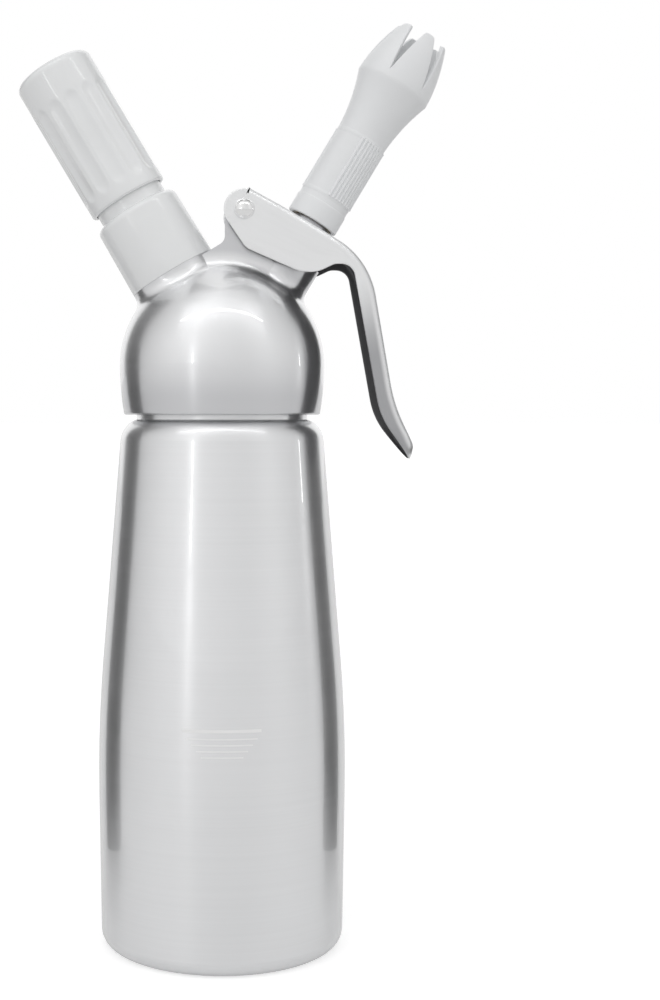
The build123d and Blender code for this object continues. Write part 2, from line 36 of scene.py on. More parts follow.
import bmesh
import bpy
from bpy.props import FloatProperty, FloatVectorProperty, IntProperty, PointerProperty
import numpy as np
from mathutils import Matrix, Vector
from mathutils.bvhtree import BVHTree

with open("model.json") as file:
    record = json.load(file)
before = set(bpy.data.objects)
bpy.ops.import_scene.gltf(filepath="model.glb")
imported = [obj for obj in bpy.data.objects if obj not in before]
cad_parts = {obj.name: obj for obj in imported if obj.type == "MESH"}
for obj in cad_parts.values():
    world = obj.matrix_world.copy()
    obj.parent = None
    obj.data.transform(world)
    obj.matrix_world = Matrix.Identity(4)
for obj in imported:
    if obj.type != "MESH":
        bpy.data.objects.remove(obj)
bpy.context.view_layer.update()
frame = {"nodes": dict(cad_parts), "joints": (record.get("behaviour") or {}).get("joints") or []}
JOINTS = {joint["name"]: joint for joint in frame["joints"]}
MM = 0.001
IMAGE_WIDTH, IMAGE_HEIGHT = 660, 1000
# Brightness of the studio's walls by the angle round the dispenser, in degrees from the
# camera's side, positive towards +X.
STUDIO = [(-180, 1.0), (-144, 1.0), (-137, 0.17), (-113, 0.17), (-102, 0.66), (-90, 0.74),
          (-61, 0.94), (-37, 1.0), (-12, 0.87), (20, 0.79), (33, 0.79), (55, 0.9), (75, 0.8),
          (92, 0.72), (102, 0.66), (113, 0.17), (137, 0.17), (144, 1.0), (180, 1.0)]
# Strip lamps: name, place and size in metres, and radiance.
STRIPS = [("overhead", (0.0, -0.43, 0.99), (1.5, 0.045), 5.0),
          ("left strip", (-0.53, -0.85, 0.29), (0.025, 0.2), 8.0),
          ("right strip", (1.0, 0.08, 0.27), (0.02, 0.16), 6.0)]
# Side view of the lever as (X, Z, corner radius) from the rivet, in millimetres: the back
# from the ear over the valve and down the handle, then the flanges' free edge.
BACK_LINE = [(1.76, 6.81, 0), (12.3, 1.06, 60), (40.35, -15.8, 26), (48.35, -63.1, 50),
             (54.75, -75.9, 4), (54.25, -80.3, 0)]
EDGE_LINE = [(0.45, -12.4, 6), (20.85, -21.4, 12), (29.15, -17.5, 4), (34.85, -17.6, 4.5),
             (43.55, -66.8, 25), (53.85, -80.3, 0)]
# Points of the two lines that lie across the channel from each other.
ACROSS = [((24.0, -6.0), (17.0, -19.8)), ((33.0, -11.4), (29.15, -17.5)),
          ((40.35, -15.8), (34.85, -17.6)), ((48.35, -63.1), (43.55, -66.8)),
          ((54.0, -74.5), (49.5, -75.0))]
# Places along the back, in millimetres, between which its bends grow from the size beside
# the ears to the handle's; the share of the room that a bend may take; and the least cosine
# between the way across the channel and the back's normal.
BEND_GROWS = (30.0, 50.0)
BEND_ROOM = 0.8
LEAST_LEAN = 0.6
# The tip's flare: the share that widens evenly, the power of the rest, and the power by
# which the passage inside it widens.
FLARE_EVEN, FLARE_POWER, PASSAGE_POWER = 0.28, 2.2, 0.6
# Soft limits of the painted shade on the handle's sides, in millimetres: the direction, where it
# starts and where it is full. X runs down the lever's back from its start, Y away from the
# middle.
HANDLE_SHADE_LIMITS = [("X", 46.0, 74.0), ("X", 118.0, 104.0), ("Y", 12.5, 14.5)]
# Share of its colour that the steel keeps under the painted shade.
HANDLE_SHADE_SHARE = (0.5, 0.5, 0.51)
# The ball round the head's dome, in millimetres: height of its centre, and the radii at which
# the painted shade starts and is full. Then the share of its colour that the head keeps outside
# it, under the painted shade.
DOME = (191.0, 32.8, 35.8)
OFF_DOME_SHADE_SHARE = (0.77, 0.77, 0.78)
# Ends of a dark card's foot, in millimetres, mirrored for the other side.
CARD_FOOT = [(146.5, 13.6), (119.0, 73.0)]
# Height that the strip lamps face, in metres.
LAMP_AIM = 0.17


def length(name, default, description):
    """A size in metres, shown with its unit; the default is given in millimetres."""
    return FloatProperty(name=name, description=description, default=default * MM,
                         subtype="DISTANCE", unit="LENGTH", precision=5)


def angle(name, default, description):
    """An angle, shown in degrees; the default is given in degrees."""
    return FloatProperty(name=name, description=description, default=radians(default),
                         subtype="ANGLE", unit="ROTATION")


def colour(name, default, description):
    """A plain colour."""
    return FloatVectorProperty(name=name, description=description, default=default,
                               subtype="COLOR", size=3, min=0, max=1)


def share(name, default, description):
    """A share from 0 to 1."""
    return FloatProperty(name=name, description=description, default=default,
                         subtype="FACTOR", min=0, max=1)


# ---- sizes and colours that a user would change ----

class HolderSizes(bpy.types.PropertyGroup):
    start: length("Start", 59.6, "Place of the open rim along the gas axis")
    length: length("Length", 51.2, "From the open rim to the top of the crown")
    radius: length("Radius", 13.35, "Outside of the sleeve")
    crown: length("Crown", 2.0, "Rise of the closed end")
    corner: length("Corner", 2.6, "Roundness of the closed end's edge")
    rim_edge: length("Rim edge", 0.8, "Roundness of the open rim's outer edge")
    rim_bore: length("Rim bore", 12.0, "Radius of the recess inside the rim")
    rim_depth: length("Rim depth", 1.2, "Depth of the recess inside the rim")
    insert_bore: length("Insert bore", 11.45, "Radius of the seat of the threaded insert")
    insert_length: length("Insert length", 8.0, "Length of the threaded insert's seat")
    charger_bore: length("Charger bore", 9.3, "Radius of the bore round the charger")
    bore_end: length("Bore end", 47.7, "Deepest point of the bore above the rim")
    flutes: IntProperty(name="Flutes", description="Number of finger flutes", default=13)
    flute_phase: angle("Flute phase", 4.0, "Turn of the first flute from the -Y side")
    flute_depth: length("Flute depth", 0.6, "Depth of a flute at its middle")
    flute_radius: length("Flute radius", 8.0, "Radius of a flute's hollow")
    flute_start: length("Flute start", 4.1, "Lower end of the flutes above the rim")
    flute_length: length("Flute length", 34.2, "Length of the flutes")
    flute_softness: length("Flute softness", 0.05, "How soft the edges of the flutes are")


class CollarSizes(bpy.types.PropertyGroup):
    bottom: length("Bottom", 31.4, "Place of the collar's foot along the gas axis")
    top: length("Top", 55.6, "Place of the collar's shoulder")
    neck_end: length("Neck end", 60.5, "Place of the neck's end, inside the holder")
    bottom_radius: length("Foot radius", 14.8, "Outside of the foot")
    top_radius: length("Shoulder radius", 14.35, "Outside at the shoulder")
    corner: length("Corner", 2.2, "Roundness of the shoulder")
    neck_radius: length("Neck radius", 11.7, "Outside of the neck")
    neck_blend: length("Neck blend", 0.6, "Hollow between the shoulder and the neck")
    flange_radius: length("Flange radius", 11.55, "Inside, over the port's flange")
    flange_top: length("Flange top", 33.9, "Top of the port's flange")
    tube_radius: length("Tube radius", 10.15, "Inside, over the port's tube")


class TipSizes(bpy.types.PropertyGroup):
    start: length("Start", 57.1, "Place of the tip's base along the valve axis")
    length: length("Length", 70.7, "From the base to the ends of the petals")
    base_radius: length("Base radius", 8.8, "Outside of the plain base")
    base_length: length("Base length", 6.4, "Length of the plain base")
    sleeve_radius: length("Sleeve radius", 8.55, "Outside of the ribbed sleeve")
    ring_rise: length("Ring rise", 0.12, "Rise of the rings at both ends of the ribs")
    ring_width: length("Ring width", 1.2, "Width of those rings")
    lower_ring: length("Lower ring", 9.1, "Middle of the lower ring above the base")
    upper_ring: length("Upper ring", 30.9, "Middle of the upper ring above the base")
    belly_height: length("Belly height", 51.2, "Widest place above the base")
    belly_radius: length("Belly radius", 12.7, "Outside at the widest place")
    bulge_height: length("Bulge height", 61.2, "A place half way up the petals")
    bulge_radius: length("Bulge radius", 11.5, "Outside of the petals at that place")
    mouth_radius: length("Mouth radius", 8.6, "Outside at the ends of the petals")
    wall: length("Wall", 1.5, "Wall of the flare and of the petals")
    rim_edge: length("Rim edge", 0.3, "Roundness of the petals' edges")
    insert_bore: length("Insert bore", 7.3, "Radius of the threaded insert's seat")
    insert_top: length("Insert top", 10.83, "Top of that seat above the base")
    passage_radius: length("Passage radius", 5.0, "Radius of the passage in the sleeve")
    petals: IntProperty(name="Petals", description="Number of petals", default=6)
    petal_phase: angle("Petal phase", 13.0, "Turn of the first petal from the -Y side")
    notch_start: length("Notch start", 53.6, "Lower end of the notches above the base")
    notch_width: length("Notch width", 5.4, "Width of a notch at the petals' ends")
    petal_corner: length("Petal corner", 1.1, "Softness of a petal's two corners")
    rib_patches: IntProperty(name="Rib patches", description="Patches of ribs", default=2)
    ribs: IntProperty(name="Ribs", description="Number of ribs in a patch", default=10)
    rib_step: angle("Rib step", 8.6, "Turn from rib to rib")
    rib_phase: angle("Rib phase", 42.7, "Turn of a patch's middle from the -Y side")
    rib_radius: length("Rib radius", 0.46, "Half the width of a rib, and its height")


class LeverSizes(bpy.types.PropertyGroup):
    half_width: length("Half width", 13.0, "From the middle to the outside of a flange")
    sheet: length("Sheet", 1.2, "Thickness of the steel")
    web_bend: length("Web bend", 1.9, "Outside radius of the bends beside the ears")
    bend: length("Bend", 3.2, "Outside radius of the bends down the handle")
    rim: length("Rim", 0.35, "Roundness of the sheet's free edges")
    ear_radius: length("Ear radius", 6.6, "Round ear about the rivet")
    web_start: length("Back start", -1.9, "Start of the back from the rivet")
    lap: length("Lap", 0.6, "How far an ear reaches into its flange")
    lap_inset: length("Lap inset", 0.004, "How much thinner an ear is than its flange")
    end_length: length("End length", 11.0, "Length of the handle's rounded end")
    stem_hole: length("Stem hole", 7.2, "Radius of the hole round the valve's stem")
    rivet_radius: length("Rivet radius", 3.4, "Radius of the rivet's heads")
    rivet_rise: length("Rivet rise", 2.1, "Height of the rivet's heads")


class MarkSizes(bpy.types.PropertyGroup):
    height: length("Height", 75.7, "Height of the main bar")
    width: length("Width", 24.4, "Length of the main bar")
    thickness: length("Thickness", 0.95, "Height of the main bar's stroke")
    fine_thickness: length("Fine thickness", 0.36, "Height of the other bars' stroke")
    first_step: length("First step", 2.4, "From the main bar down to the next")
    step: length("Step", 1.85, "From one of the lower bars to the next")
    first_width: length("First width", 22.0, "Length of the second bar")
    narrowing: length("Narrowing", 3.0, "How much shorter each lower bar is")
    bars: IntProperty(name="Bars", description="Number of bars", default=5)
    lift: length("Lift", 0.05, "How far the print stands on the metal")


class Finishes(bpy.types.PropertyGroup):
    aluminium: colour("Aluminium", (0.875, 0.88, 0.89), "Bottle and head")
    lever_steel: colour("Lever steel", (0.95, 0.955, 0.96), "Pressed stainless sheet")
    # The lever's dark inside is painted shade.
    lever_inside_shade: colour("Lever inside", (0.16, 0.16, 0.165), "Raw inside of the lever")
    rivet_steel: colour("Rivet steel", (0.9, 0.9, 0.9), "Polished rivet")
    plain_steel: colour("Plain steel", (0.6, 0.6, 0.62), "Stem, spring and charger")
    brass: colour("Brass", (0.78, 0.6, 0.3), "Port, inserts and bush")
    gloss_white: colour("Gloss white", (0.92, 0.93, 0.935), "Collar and holder")
    tip_white: colour("Tip white", (0.9, 0.91, 0.92), "Decorating tip")
    bush_white: colour("Bush white", (0.75, 0.75, 0.72), "Bushes of the rivet")
    rubber: colour("Rubber", (0.2, 0.2, 0.21), "Seals")
    ink: colour("Ink", (0.98, 0.98, 0.98), "Printed fill mark")


class StageSettings(bpy.types.PropertyGroup):
    camera_distance: length("Camera distance", 523.0, "From the bottle's axis")
    camera_height: length("Camera height", 171.7, "Above the floor")
    lens: FloatProperty(name="Lens", description="Focal length", default=57.4,
                        unit="CAMERA")
    axis_column: FloatProperty(name="Axis column", default=222.0,
                               description="Image column of the bottle's axis")
    horizon_row: FloatProperty(name="Horizon row", default=415.0,
                               description="Image row of the camera's height")
    floor_colour: colour("Floor", (0.7, 0.7, 0.7), "Plain floor")
    floor_glow: share("Floor glow", 0.55, "White that only the camera sees on the floor")
    floor_gloss: share("Floor gloss", 0.17, "White that reflections see on the floor")
    floor_reach: FloatProperty(name="Floor reach", default=30.0, unit="LENGTH",
                               subtype="DISTANCE", description="From the axis to its edge")
    world_strength: FloatProperty(name="World", default=0.96,
                                  description="Strength of the soft light all round")
    strip_glow: FloatProperty(name="Strip glow", default=1.0,
                              description="Share of the strip lamps' own radiance")
    card_glow: share("Card glow", 0.13, "Grey of the dark cards in reflections")
    card_height: length("Card height", 220.0, "Height of the dark cards on the floor")


# ---- curves and surfaces ----

def joint_frame(name):
    """Matrix at a joint with Z along its axis and X in the dispenser's mirror plane."""
    joint = JOINTS[name]
    along = Vector(joint["axis"]).normalized()
    across = Vector((0, 1, 0)).cross(along)
    matrix = Matrix((across, (0, 1, 0), along)).transposed().to_4x4()
    matrix.translation = joint["pos_m"]
    return matrix


def rounded(corners, steps=6):
    """Line through (x, y, radius) corners. Each corner is an arc about the point that lies
    its radius from both sides, between the two points where it touches them."""
    places = np.array([corner[:2] for corner in corners], float)
    line = [places[:1]]
    for before, (x, y, radius), after in zip(places, corners[1:-1], places[2:]):
        corner = np.array((x, y))
        back = (before - corner) / np.linalg.norm(before - corner)
        onward = (after - corner) / np.linalg.norm(after - corner)
        half = np.arccos(np.clip(back @ onward, -1, 1)) / 2
        if radius <= 0 or half > radians(89.9):
            line.append(corner[None])
            continue
        middle = (back + onward) / np.linalg.norm(back + onward)
        centre = corner + middle * radius / sin(half)
        turn = pi / 2 - half
        swing = np.linspace(-turn, turn, steps + 1)[:, None]
        side = back - middle * (back @ middle)
        side /= np.linalg.norm(side)
        line.append(centre - radius * (middle * np.cos(swing) + side * np.sin(swing)))
    return np.concatenate(line + [places[-1:]])


def densified(line, step):
    """The same line with more points, none further apart than a step."""
    runs = [np.linspace(a, b, max(2, int(np.ceil(hypot(*(b - a)) / step)) + 1))[:-1]
            for a, b in zip(line, line[1:])]
    return np.concatenate(runs + [line[-1:]])


def surface(name, grid, finish, smooth_angle=40):
    """Quads between neighbours of a (rows, columns, 3) grid whose columns close on
    themselves. A row of one repeated point becomes a pole."""
    quads = grid_quads(*grid.shape[:2], closed=True)
    mesh = bpy.data.meshes.new(name)
    mesh.from_pydata(grid.reshape(-1, 3).tolist(), [], quads.tolist())
    return finished(name, mesh, finish, smooth_angle)


def run_along(line):
    """Distance of each point from the line's start, along the line."""
    return np.concatenate([[0], np.cumsum(np.linalg.norm(np.diff(line, axis=0), axis=1))])


def at_run(line, runs, places):
    """Points of a line at given distances from its start."""
    return np.stack([np.interp(places, runs, part) for part in line.T], axis=-1)


def nearest(line, point):
    """Number of the line's point that is nearest to a given point."""
    return np.linalg.norm(line - point, axis=1).argmin()


def cut_line(line, places, start):
    """The part of a line past the point whose place is the start."""
    first = np.argmax(places > start)
    share_on = (start - places[first - 1]) / (places[first] - places[first - 1])
    point = line[first - 1] + (line[first] - line[first - 1]) * share_on
    return np.concatenate([point[None], line[first:]])


def grid_quads(rows, columns, closed=False):
    """Quads of a grid, as rows of four point numbers. In a closed one the last column joins
    the first."""
    index = np.arange(rows * columns).reshape(rows, columns)
    if closed:
        index = np.concatenate([index, index[:, :1]], axis=1)
    return np.stack([index[:-1, :-1], index[:-1, 1:], index[1:, 1:], index[1:, :-1]],
                    axis=-1).reshape(-1, 4)


def patched(name, parts, finish, smooth_angle=35):
    """One object of several (points, marks, quads, second) parts. The marks go to the UV map;
    second tells which quads take the object's second material."""
    starts = np.cumsum([0] + [len(part[0]) for part in parts])
    points, marks = (np.concatenate([part[i] for part in parts]) for i in (0, 1))
    quads = np.concatenate([part[2] + start for part, start in zip(parts, starts)])
    second = np.concatenate([np.broadcast_to(part[3], len(part[2])) for part in parts])
    mesh = bpy.data.meshes.new(name)
    mesh.from_pydata(points.tolist(), [], quads.tolist())
    mesh.polygons.foreach_set("material_index", second.astype(np.int32))
    layer = mesh.uv_layers.new(name="along")
    layer.data.foreach_set("uv", marks[quads.ravel()].ravel())
    return finished(name, mesh, finish, smooth_angle)


def placed(name, data):
    """New object of some data, in the scene."""
    made = bpy.data.objects.new(name, data)
    bpy.context.scene.collection.objects.link(made)
    return made


def finished(name, mesh, finish, smooth_angle=40):
    """Object of a mesh with its doubles merged, its faces turned outwards and made smooth."""
    work = bmesh.new()
    work.from_mesh(mesh)
    bmesh.ops.remove_doubles(work, verts=work.verts, dist=1e-7)
    bmesh.ops.recalc_face_normals(work, faces=work.faces)
    work.to_mesh(mesh)
    work.free()
    mesh.shade_smooth()
    mesh.set_sharp_from_angle(angle=radians(smooth_angle))
    mesh.materials.append(finish)
    return placed(name, mesh)


def round_z(radius, height, turn):
    """Points at a radius and a height, turned about Z from the -Y side."""
    radius, height, turn = np.broadcast_arrays(radius, height, turn)
    return np.stack([radius * np.sin(turn), -radius * np.cos(turn), height], axis=-1)


def turned(profile, columns, place, offset=0.0):
    """Grid of a (radius, height) profile carried round Z. The offset is added to the radius
    and may differ from point to point: radius(height, turn) = profile + offset."""
    turn = np.arange(columns) * 2 * pi / columns
    return moved(round_z(profile[:, :1] + offset, profile[:, 1:2], turn), place)


def moved(grid, place):
    """Points of a grid carried by a matrix."""
    matrix = np.array(place)
    return grid @ matrix[:3, :3].T + matrix[:3, 3]


def share_between(value, start, end):
    """Share of the way from the start to the end, held between 0 and 1."""
    return np.clip((value - start) / (end - start), 0, 1)


def off_nearest(turn, count):
    """Turn from the nearest of a number of even places round a circle, one of them at 0."""
    pitch = 2 * pi / count
    return (turn + pitch / 2) % pitch - pitch / 2


def soft_positive(value, softness):
    """Smooth version of max(value, 0)."""
    return (value + np.sqrt(value ** 2 + softness ** 2)) / 2


# ---- finishes ----

def node(tree, kind, inputs=(), **settings):
    """Adds a node; an input is a plain value or another node's socket."""
    made = tree.nodes.new(kind)
    for key, value in settings.items():
        setattr(made, key, value)
    for key, value in dict(inputs).items():
        if isinstance(value, bpy.types.NodeSocket):
            tree.links.new(value, made.inputs[key])
        else:
            made.inputs[key].default_value = value
    return made


def worked(tree, operation, *values):
    """Result of a Math node."""
    return node(tree, "ShaderNodeMath", dict(enumerate(values)),
                operation=operation).outputs[0]


def effect(name, inputs, outputs):
    """Empty node group with float inputs (name, default), a Vector and float outputs."""
    tree = bpy.data.node_groups.new(name, "ShaderNodeTree")
    tree.interface.new_socket(name="Vector", in_out="INPUT", socket_type="NodeSocketVector")
    for key, default in inputs:
        socket = tree.interface.new_socket(name=key, in_out="INPUT",
                                           socket_type="NodeSocketFloat")
        socket.default_value = default
    for key in outputs:
        tree.interface.new_socket(name=key, in_out="OUTPUT", socket_type="NodeSocketFloat")
    return tree, node(tree, "NodeGroupInput"), node(tree, "NodeGroupOutput")


def brush_lines():
    """Fine streaks: noise drawn out along X and Y and packed along Z, in three sizes."""
    name = "Brush lines"
    if name in bpy.data.node_groups:
        return bpy.data.node_groups[name]
    tree, given, result = effect(name, [("Across", 1500.0), ("Along", 8.0)], ["Streaks"])
    total = 0.0
    for across, along, weight in ((1.0, 1.0, 0.45), (0.31, 0.7, 0.35), (3.3, 2.6, 0.2)):
        fine = worked(tree, "MULTIPLY", given.outputs["Across"], across)
        long = worked(tree, "MULTIPLY", given.outputs["Along"], along)
        scale = node(tree, "ShaderNodeCombineXYZ", {"X": long, "Y": long, "Z": fine})
        drawn = node(tree, "ShaderNodeVectorMath", {0: given.outputs["Vector"],
                                                    1: scale.outputs[0]},
                     operation="MULTIPLY")
        noise = node(tree, "ShaderNodeTexNoise", {"Vector": drawn.outputs[0], "Scale": 1.0,
                                                  "Detail": 1.0, "Roughness": 0.5})
        total = worked(tree, "MULTIPLY_ADD", noise.outputs["Fac"], weight, total)
    tree.links.new(total, result.inputs["Streaks"])
    return tree


def handling_marks():
    """Broad faint cloudiness, and finer specks, as on a surface that hands touch."""
    name = "Handling marks"
    if name in bpy.data.node_groups:
        return bpy.data.node_groups[name]
    tree, given, result = effect(name, [("Scale", 60.0), ("Specks", 900.0)],
                                 ["Clouds", "Grain"])
    for scale, detail, roughness, output in (("Scale", 3.0, 0.6, "Clouds"),
                                             ("Specks", 2.0, 0.5, "Grain")):
        noise = node(tree, "ShaderNodeTexNoise", {"Vector": given.outputs["Vector"],
                                                  "Scale": given.outputs[scale],
                                                  "Detail": detail, "Roughness": roughness})
        tree.links.new(noise.outputs["Fac"], result.inputs[output])
    return tree


def grouped(tree, group, **inputs):
    """Outputs of a node group placed in a material."""
    return node(tree, "ShaderNodeGroup", inputs, node_tree=group).outputs


def span(tree, value, low, high, from_low=0.3, from_high=0.7):
    """Socket with a mask carried from its own range to another."""
    return node(tree, "ShaderNodeMapRange", {"Value": value, "From Min": from_low,
                                             "From Max": from_high, "To Min": low,
                                             "To Max": high}).outputs["Result"]


def soft_step(tree, value, start, full):
    """Mask that climbs smoothly from 0 at the start to 1 where it is full."""
    return node(tree, "ShaderNodeMapRange", {"Value": value, "From Min": start,
                                             "From Max": full},
                interpolation_type="SMOOTHSTEP").outputs["Result"]


def tinted(tree, mask, colour, darker):
    """Colour that falls to a darker share of itself where the mask is low."""
    return node(tree, "ShaderNodeMix", {0: span(tree, mask, 0, 1),
                                        6: (*[part * darker for part in colour], 1),
                                        7: (*colour, 1)}, data_type="RGBA").outputs[2]


def painted_shade(tree, mask, tone, kept):
    """Tone of which only a share is kept where the mask is high; it paints shade."""
    return node(tree, "ShaderNodeMix", {0: mask, 6: tone, 7: (*kept, 1)}, data_type="RGBA",
                blend_type="MULTIPLY").outputs[2]


def material(name, constants):
    """New material with its Principled shader set; returns it, its tree and the shader."""
    made = bpy.data.materials.new(name)
    made.use_nodes = True
    tree = made.node_tree
    shader = tree.nodes["Principled BSDF"]
    for key, value in constants.items():
        shader.inputs[key].default_value = value
    return made, tree, shader


def object_place(tree):
    """Object coordinates."""
    return node(tree, "ShaderNodeTexCoord").outputs["Object"]


def bumped(tree, shader, height, distance):
    """Feeds a height mask to the shader's normal; distance is the height in metres."""
    bump = node(tree, "ShaderNodeBump", {"Height": height, "Distance": distance})
    tree.links.new(bump.outputs["Normal"], shader.inputs["Normal"])


def streaked(tree, shader, place, roughness, depth, **scales):
    """Streaks and clouds in a metal's gloss, and streaks in its surface; returns their
    mask."""
    streaks = grouped(tree, brush_lines(), Vector=place, **scales)["Streaks"]
    clouds = grouped(tree, handling_marks(), Vector=place)["Clouds"]
    mixed = worked(tree, "ADD", streaks, clouds)
    tree.links.new(span(tree, mixed, roughness - 0.05, roughness + 0.05, 0.7, 1.3),
                   shader.inputs["Roughness"])
    bumped(tree, shader, streaks, depth)
    return streaks


def brushed_metal(name, colour, roughness, anisotropy=0.0, coat=0.0, contrast=0.05,
                  depth=1e-6, dome=None):
    """Metal with fine streaks in its colour, gloss and surface, under an optional lacquer.
    Its gloss spreads across the streaks, which run round Z. What lies outside the dome's ball is
    darker: painted shade."""
    made, tree, shader = material(name, {"Metallic": 1.0, "Anisotropic": anisotropy,
                                         "Anisotropic Rotation": 0.25,
                                         "Coat Weight": coat, "Coat Roughness": 0.02,
                                         "Coat IOR": 1.8})
    place = object_place(tree)
    streaks = streaked(tree, shader, place, roughness, depth)
    tone = tinted(tree, streaks, colour, 1 - contrast)
    # Painted shade: the colour darkens outside the dome's ball.
    if dome:
        height, inner, outer = (part * MM for part in dome)
        away = node(tree, "ShaderNodeVectorMath", {0: place, 1: (0, 0, height)},
                    operation="DISTANCE").outputs["Value"]
        tone = painted_shade(tree, soft_step(tree, away, inner, outer), tone, OFF_DOME_SHADE_SHARE)
    tree.links.new(tone, shader.inputs["Base Color"])
    return made


def handle_shade_mask(tree, parts):
    """Mask of the painted shade on the flanges' sides down the handle: along it between two soft
    ends, and across it beyond the bends."""
    values = {"X": parts["X"], "Y": worked(tree, "ABSOLUTE", parts["Y"])}
    masks = [soft_step(tree, values[way], start * MM, full * MM)
             for way, start, full in HANDLE_SHADE_LIMITS]
    return worked(tree, "MULTIPLY", worked(tree, "MULTIPLY", *masks[:2]), masks[2])


def sheet_steel(name, colour):
    """Satin steel whose streaks run along the first direction of its UV map. The gloss
    spreads across them."""
    made, tree, shader = material(name, {"Metallic": 1.0, "Anisotropic": 0.7,
                                         "Anisotropic Rotation": 0.25})
    tangent = node(tree, "ShaderNodeTangent", direction_type="UV_MAP", uv_map="along")
    tree.links.new(tangent.outputs[0], shader.inputs["Tangent"])
    marks = node(tree, "ShaderNodeUVMap", uv_map="along").outputs[0]
    parts = node(tree, "ShaderNodeSeparateXYZ", {0: marks}).outputs
    place = node(tree, "ShaderNodeCombineXYZ", {"X": parts["X"], "Z": parts["Y"]}).outputs[0]
    streaks = streaked(tree, shader, place, 0.38, 3e-7, Across=3500.0, Along=60.0)
    # The handle's flange sides are darkened here: painted shade.
    tone = painted_shade(tree, handle_shade_mask(tree, parts), tinted(tree, streaks, colour, 0.95),
                  HANDLE_SHADE_SHARE)
    tree.links.new(tone, shader.inputs["Base Color"])
    return made


def moulded(name, colour, roughness, coat=0.0, grain=1e-6, darker=0.97):
    """Plastic or rubber with faint cloudiness in its colour and gloss and a fine grain."""
    made, tree, shader = material(name, {"Coat Weight": coat, "Coat Roughness": 0.05})
    marks = grouped(tree, handling_marks(), Vector=object_place(tree))
    clouds = marks["Clouds"]
    tree.links.new(tinted(tree, clouds, colour, darker), shader.inputs["Base Color"])
    tree.links.new(span(tree, clouds, roughness - 0.04, roughness + 0.04),
                   shader.inputs["Roughness"])
    bumped(tree, shader, marks["Grain"], grain)
    return made


def dress(node_names, finish):
    """Gives CAD nodes a finish through their material slots."""
    for name in node_names:
        for mesh_slot in frame["nodes"][name].material_slots:
            mesh_slot.material = finish


# ---- pieces ----

class DISPENSER_OT_bottle(bpy.types.Operator):
    """Brushed, lacquered bottle with the printed bars of its fill mark"""
    bl_idname = "dispenser.bottle"
    bl_label = "Bottle and fill mark"

    def execute(self, context):
        finishes = context.scene.dispenser_finishes
        dress(["bottle"], brushed_metal("bottle aluminium", finishes.aluminium, 0.34,
                                        anisotropy=0.8, coat=1.0, contrast=0.03, depth=3e-7))
        self.fill_mark(context.scene.dispenser_marks, finishes)
        return {"FINISHED"}

    def fill_mark(self, sizes, finishes):
        """A thick bar with shorter and finer bars under it."""
        ink = moulded("print ink", finishes.ink, 0.35)
        metal = BVHTree.FromObject(frame["nodes"]["bottle"],
                                   bpy.context.evaluated_depsgraph_get())
        for bar in range(sizes.bars):
            width, stroke, height = sizes.width, sizes.thickness, sizes.height
            if bar:
                width = sizes.first_width - (bar - 1) * sizes.narrowing
                stroke = sizes.fine_thickness
                height = sizes.height - sizes.first_step - (bar - 1) * sizes.step
            # The widest of the radii under the bar, as the mesh is made of flat faces.
            radius = max(self.metal_radius(metal, height, radians(turn))
                         for turn in range(-20, 21, 2))
            piece = surface(f"fill_bar_{bar + 1}",
                            self.bar(radius, width, stroke, height, sizes.lift), ink)
            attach(piece, "bottle")

    def metal_radius(self, metal, height, turn):
        """Outside of the bottle at a height and a turn from the -Y side, found by a ray that
        comes in from well outside it."""
        outward = Vector((sin(turn), -cos(turn), 0))
        hit = metal.ray_cast(Vector((0, 0, height)) + outward * 0.1, -outward)[0]
        return hypot(hit.x, hit.y)

    def bar(self, radius, width, stroke, height, lift):
        """Strip bent round the bottle: the turn is the place across over the radius, and the
        section is a rectangle from a sink below the metal to the lift above it, drawn
        together to a point at both ends."""
        columns, sink = 49, 3 * lift
        turn = np.linspace(-width / 2, width / 2, columns) / radius
        turn = np.concatenate([turn[:1], turn, turn[-1:]])[:, None]
        out = radius + np.array((-sink, lift, lift, -sink))
        up = height + np.array((-1, -1, 1, 1)) * stroke / 2
        grid = round_z(out, up, turn)
        grid[[0, -1]] = grid[[0, -1]].mean(axis=1, keepdims=True)
        return grid


class DISPENSER_OT_head(bpy.types.Operator):
    """Satin cast head under clear lacquer, and the rivet's bushes"""
    bl_idname = "dispenser.head"
    bl_label = "Head"

    def execute(self, context):
        finishes = context.scene.dispenser_finishes
        # What lies outside the dome's ball takes painted shade.
        dress(["head"], brushed_metal("head aluminium", finishes.aluminium, 0.33,
                                      anisotropy=0.8, coat=1.0, contrast=0.015, depth=2e-7,
                                      dome=DOME))
        dress(["pivot_bushes"], moulded("bush plastic", finishes.bush_white, 0.45))
        return {"FINISHED"}


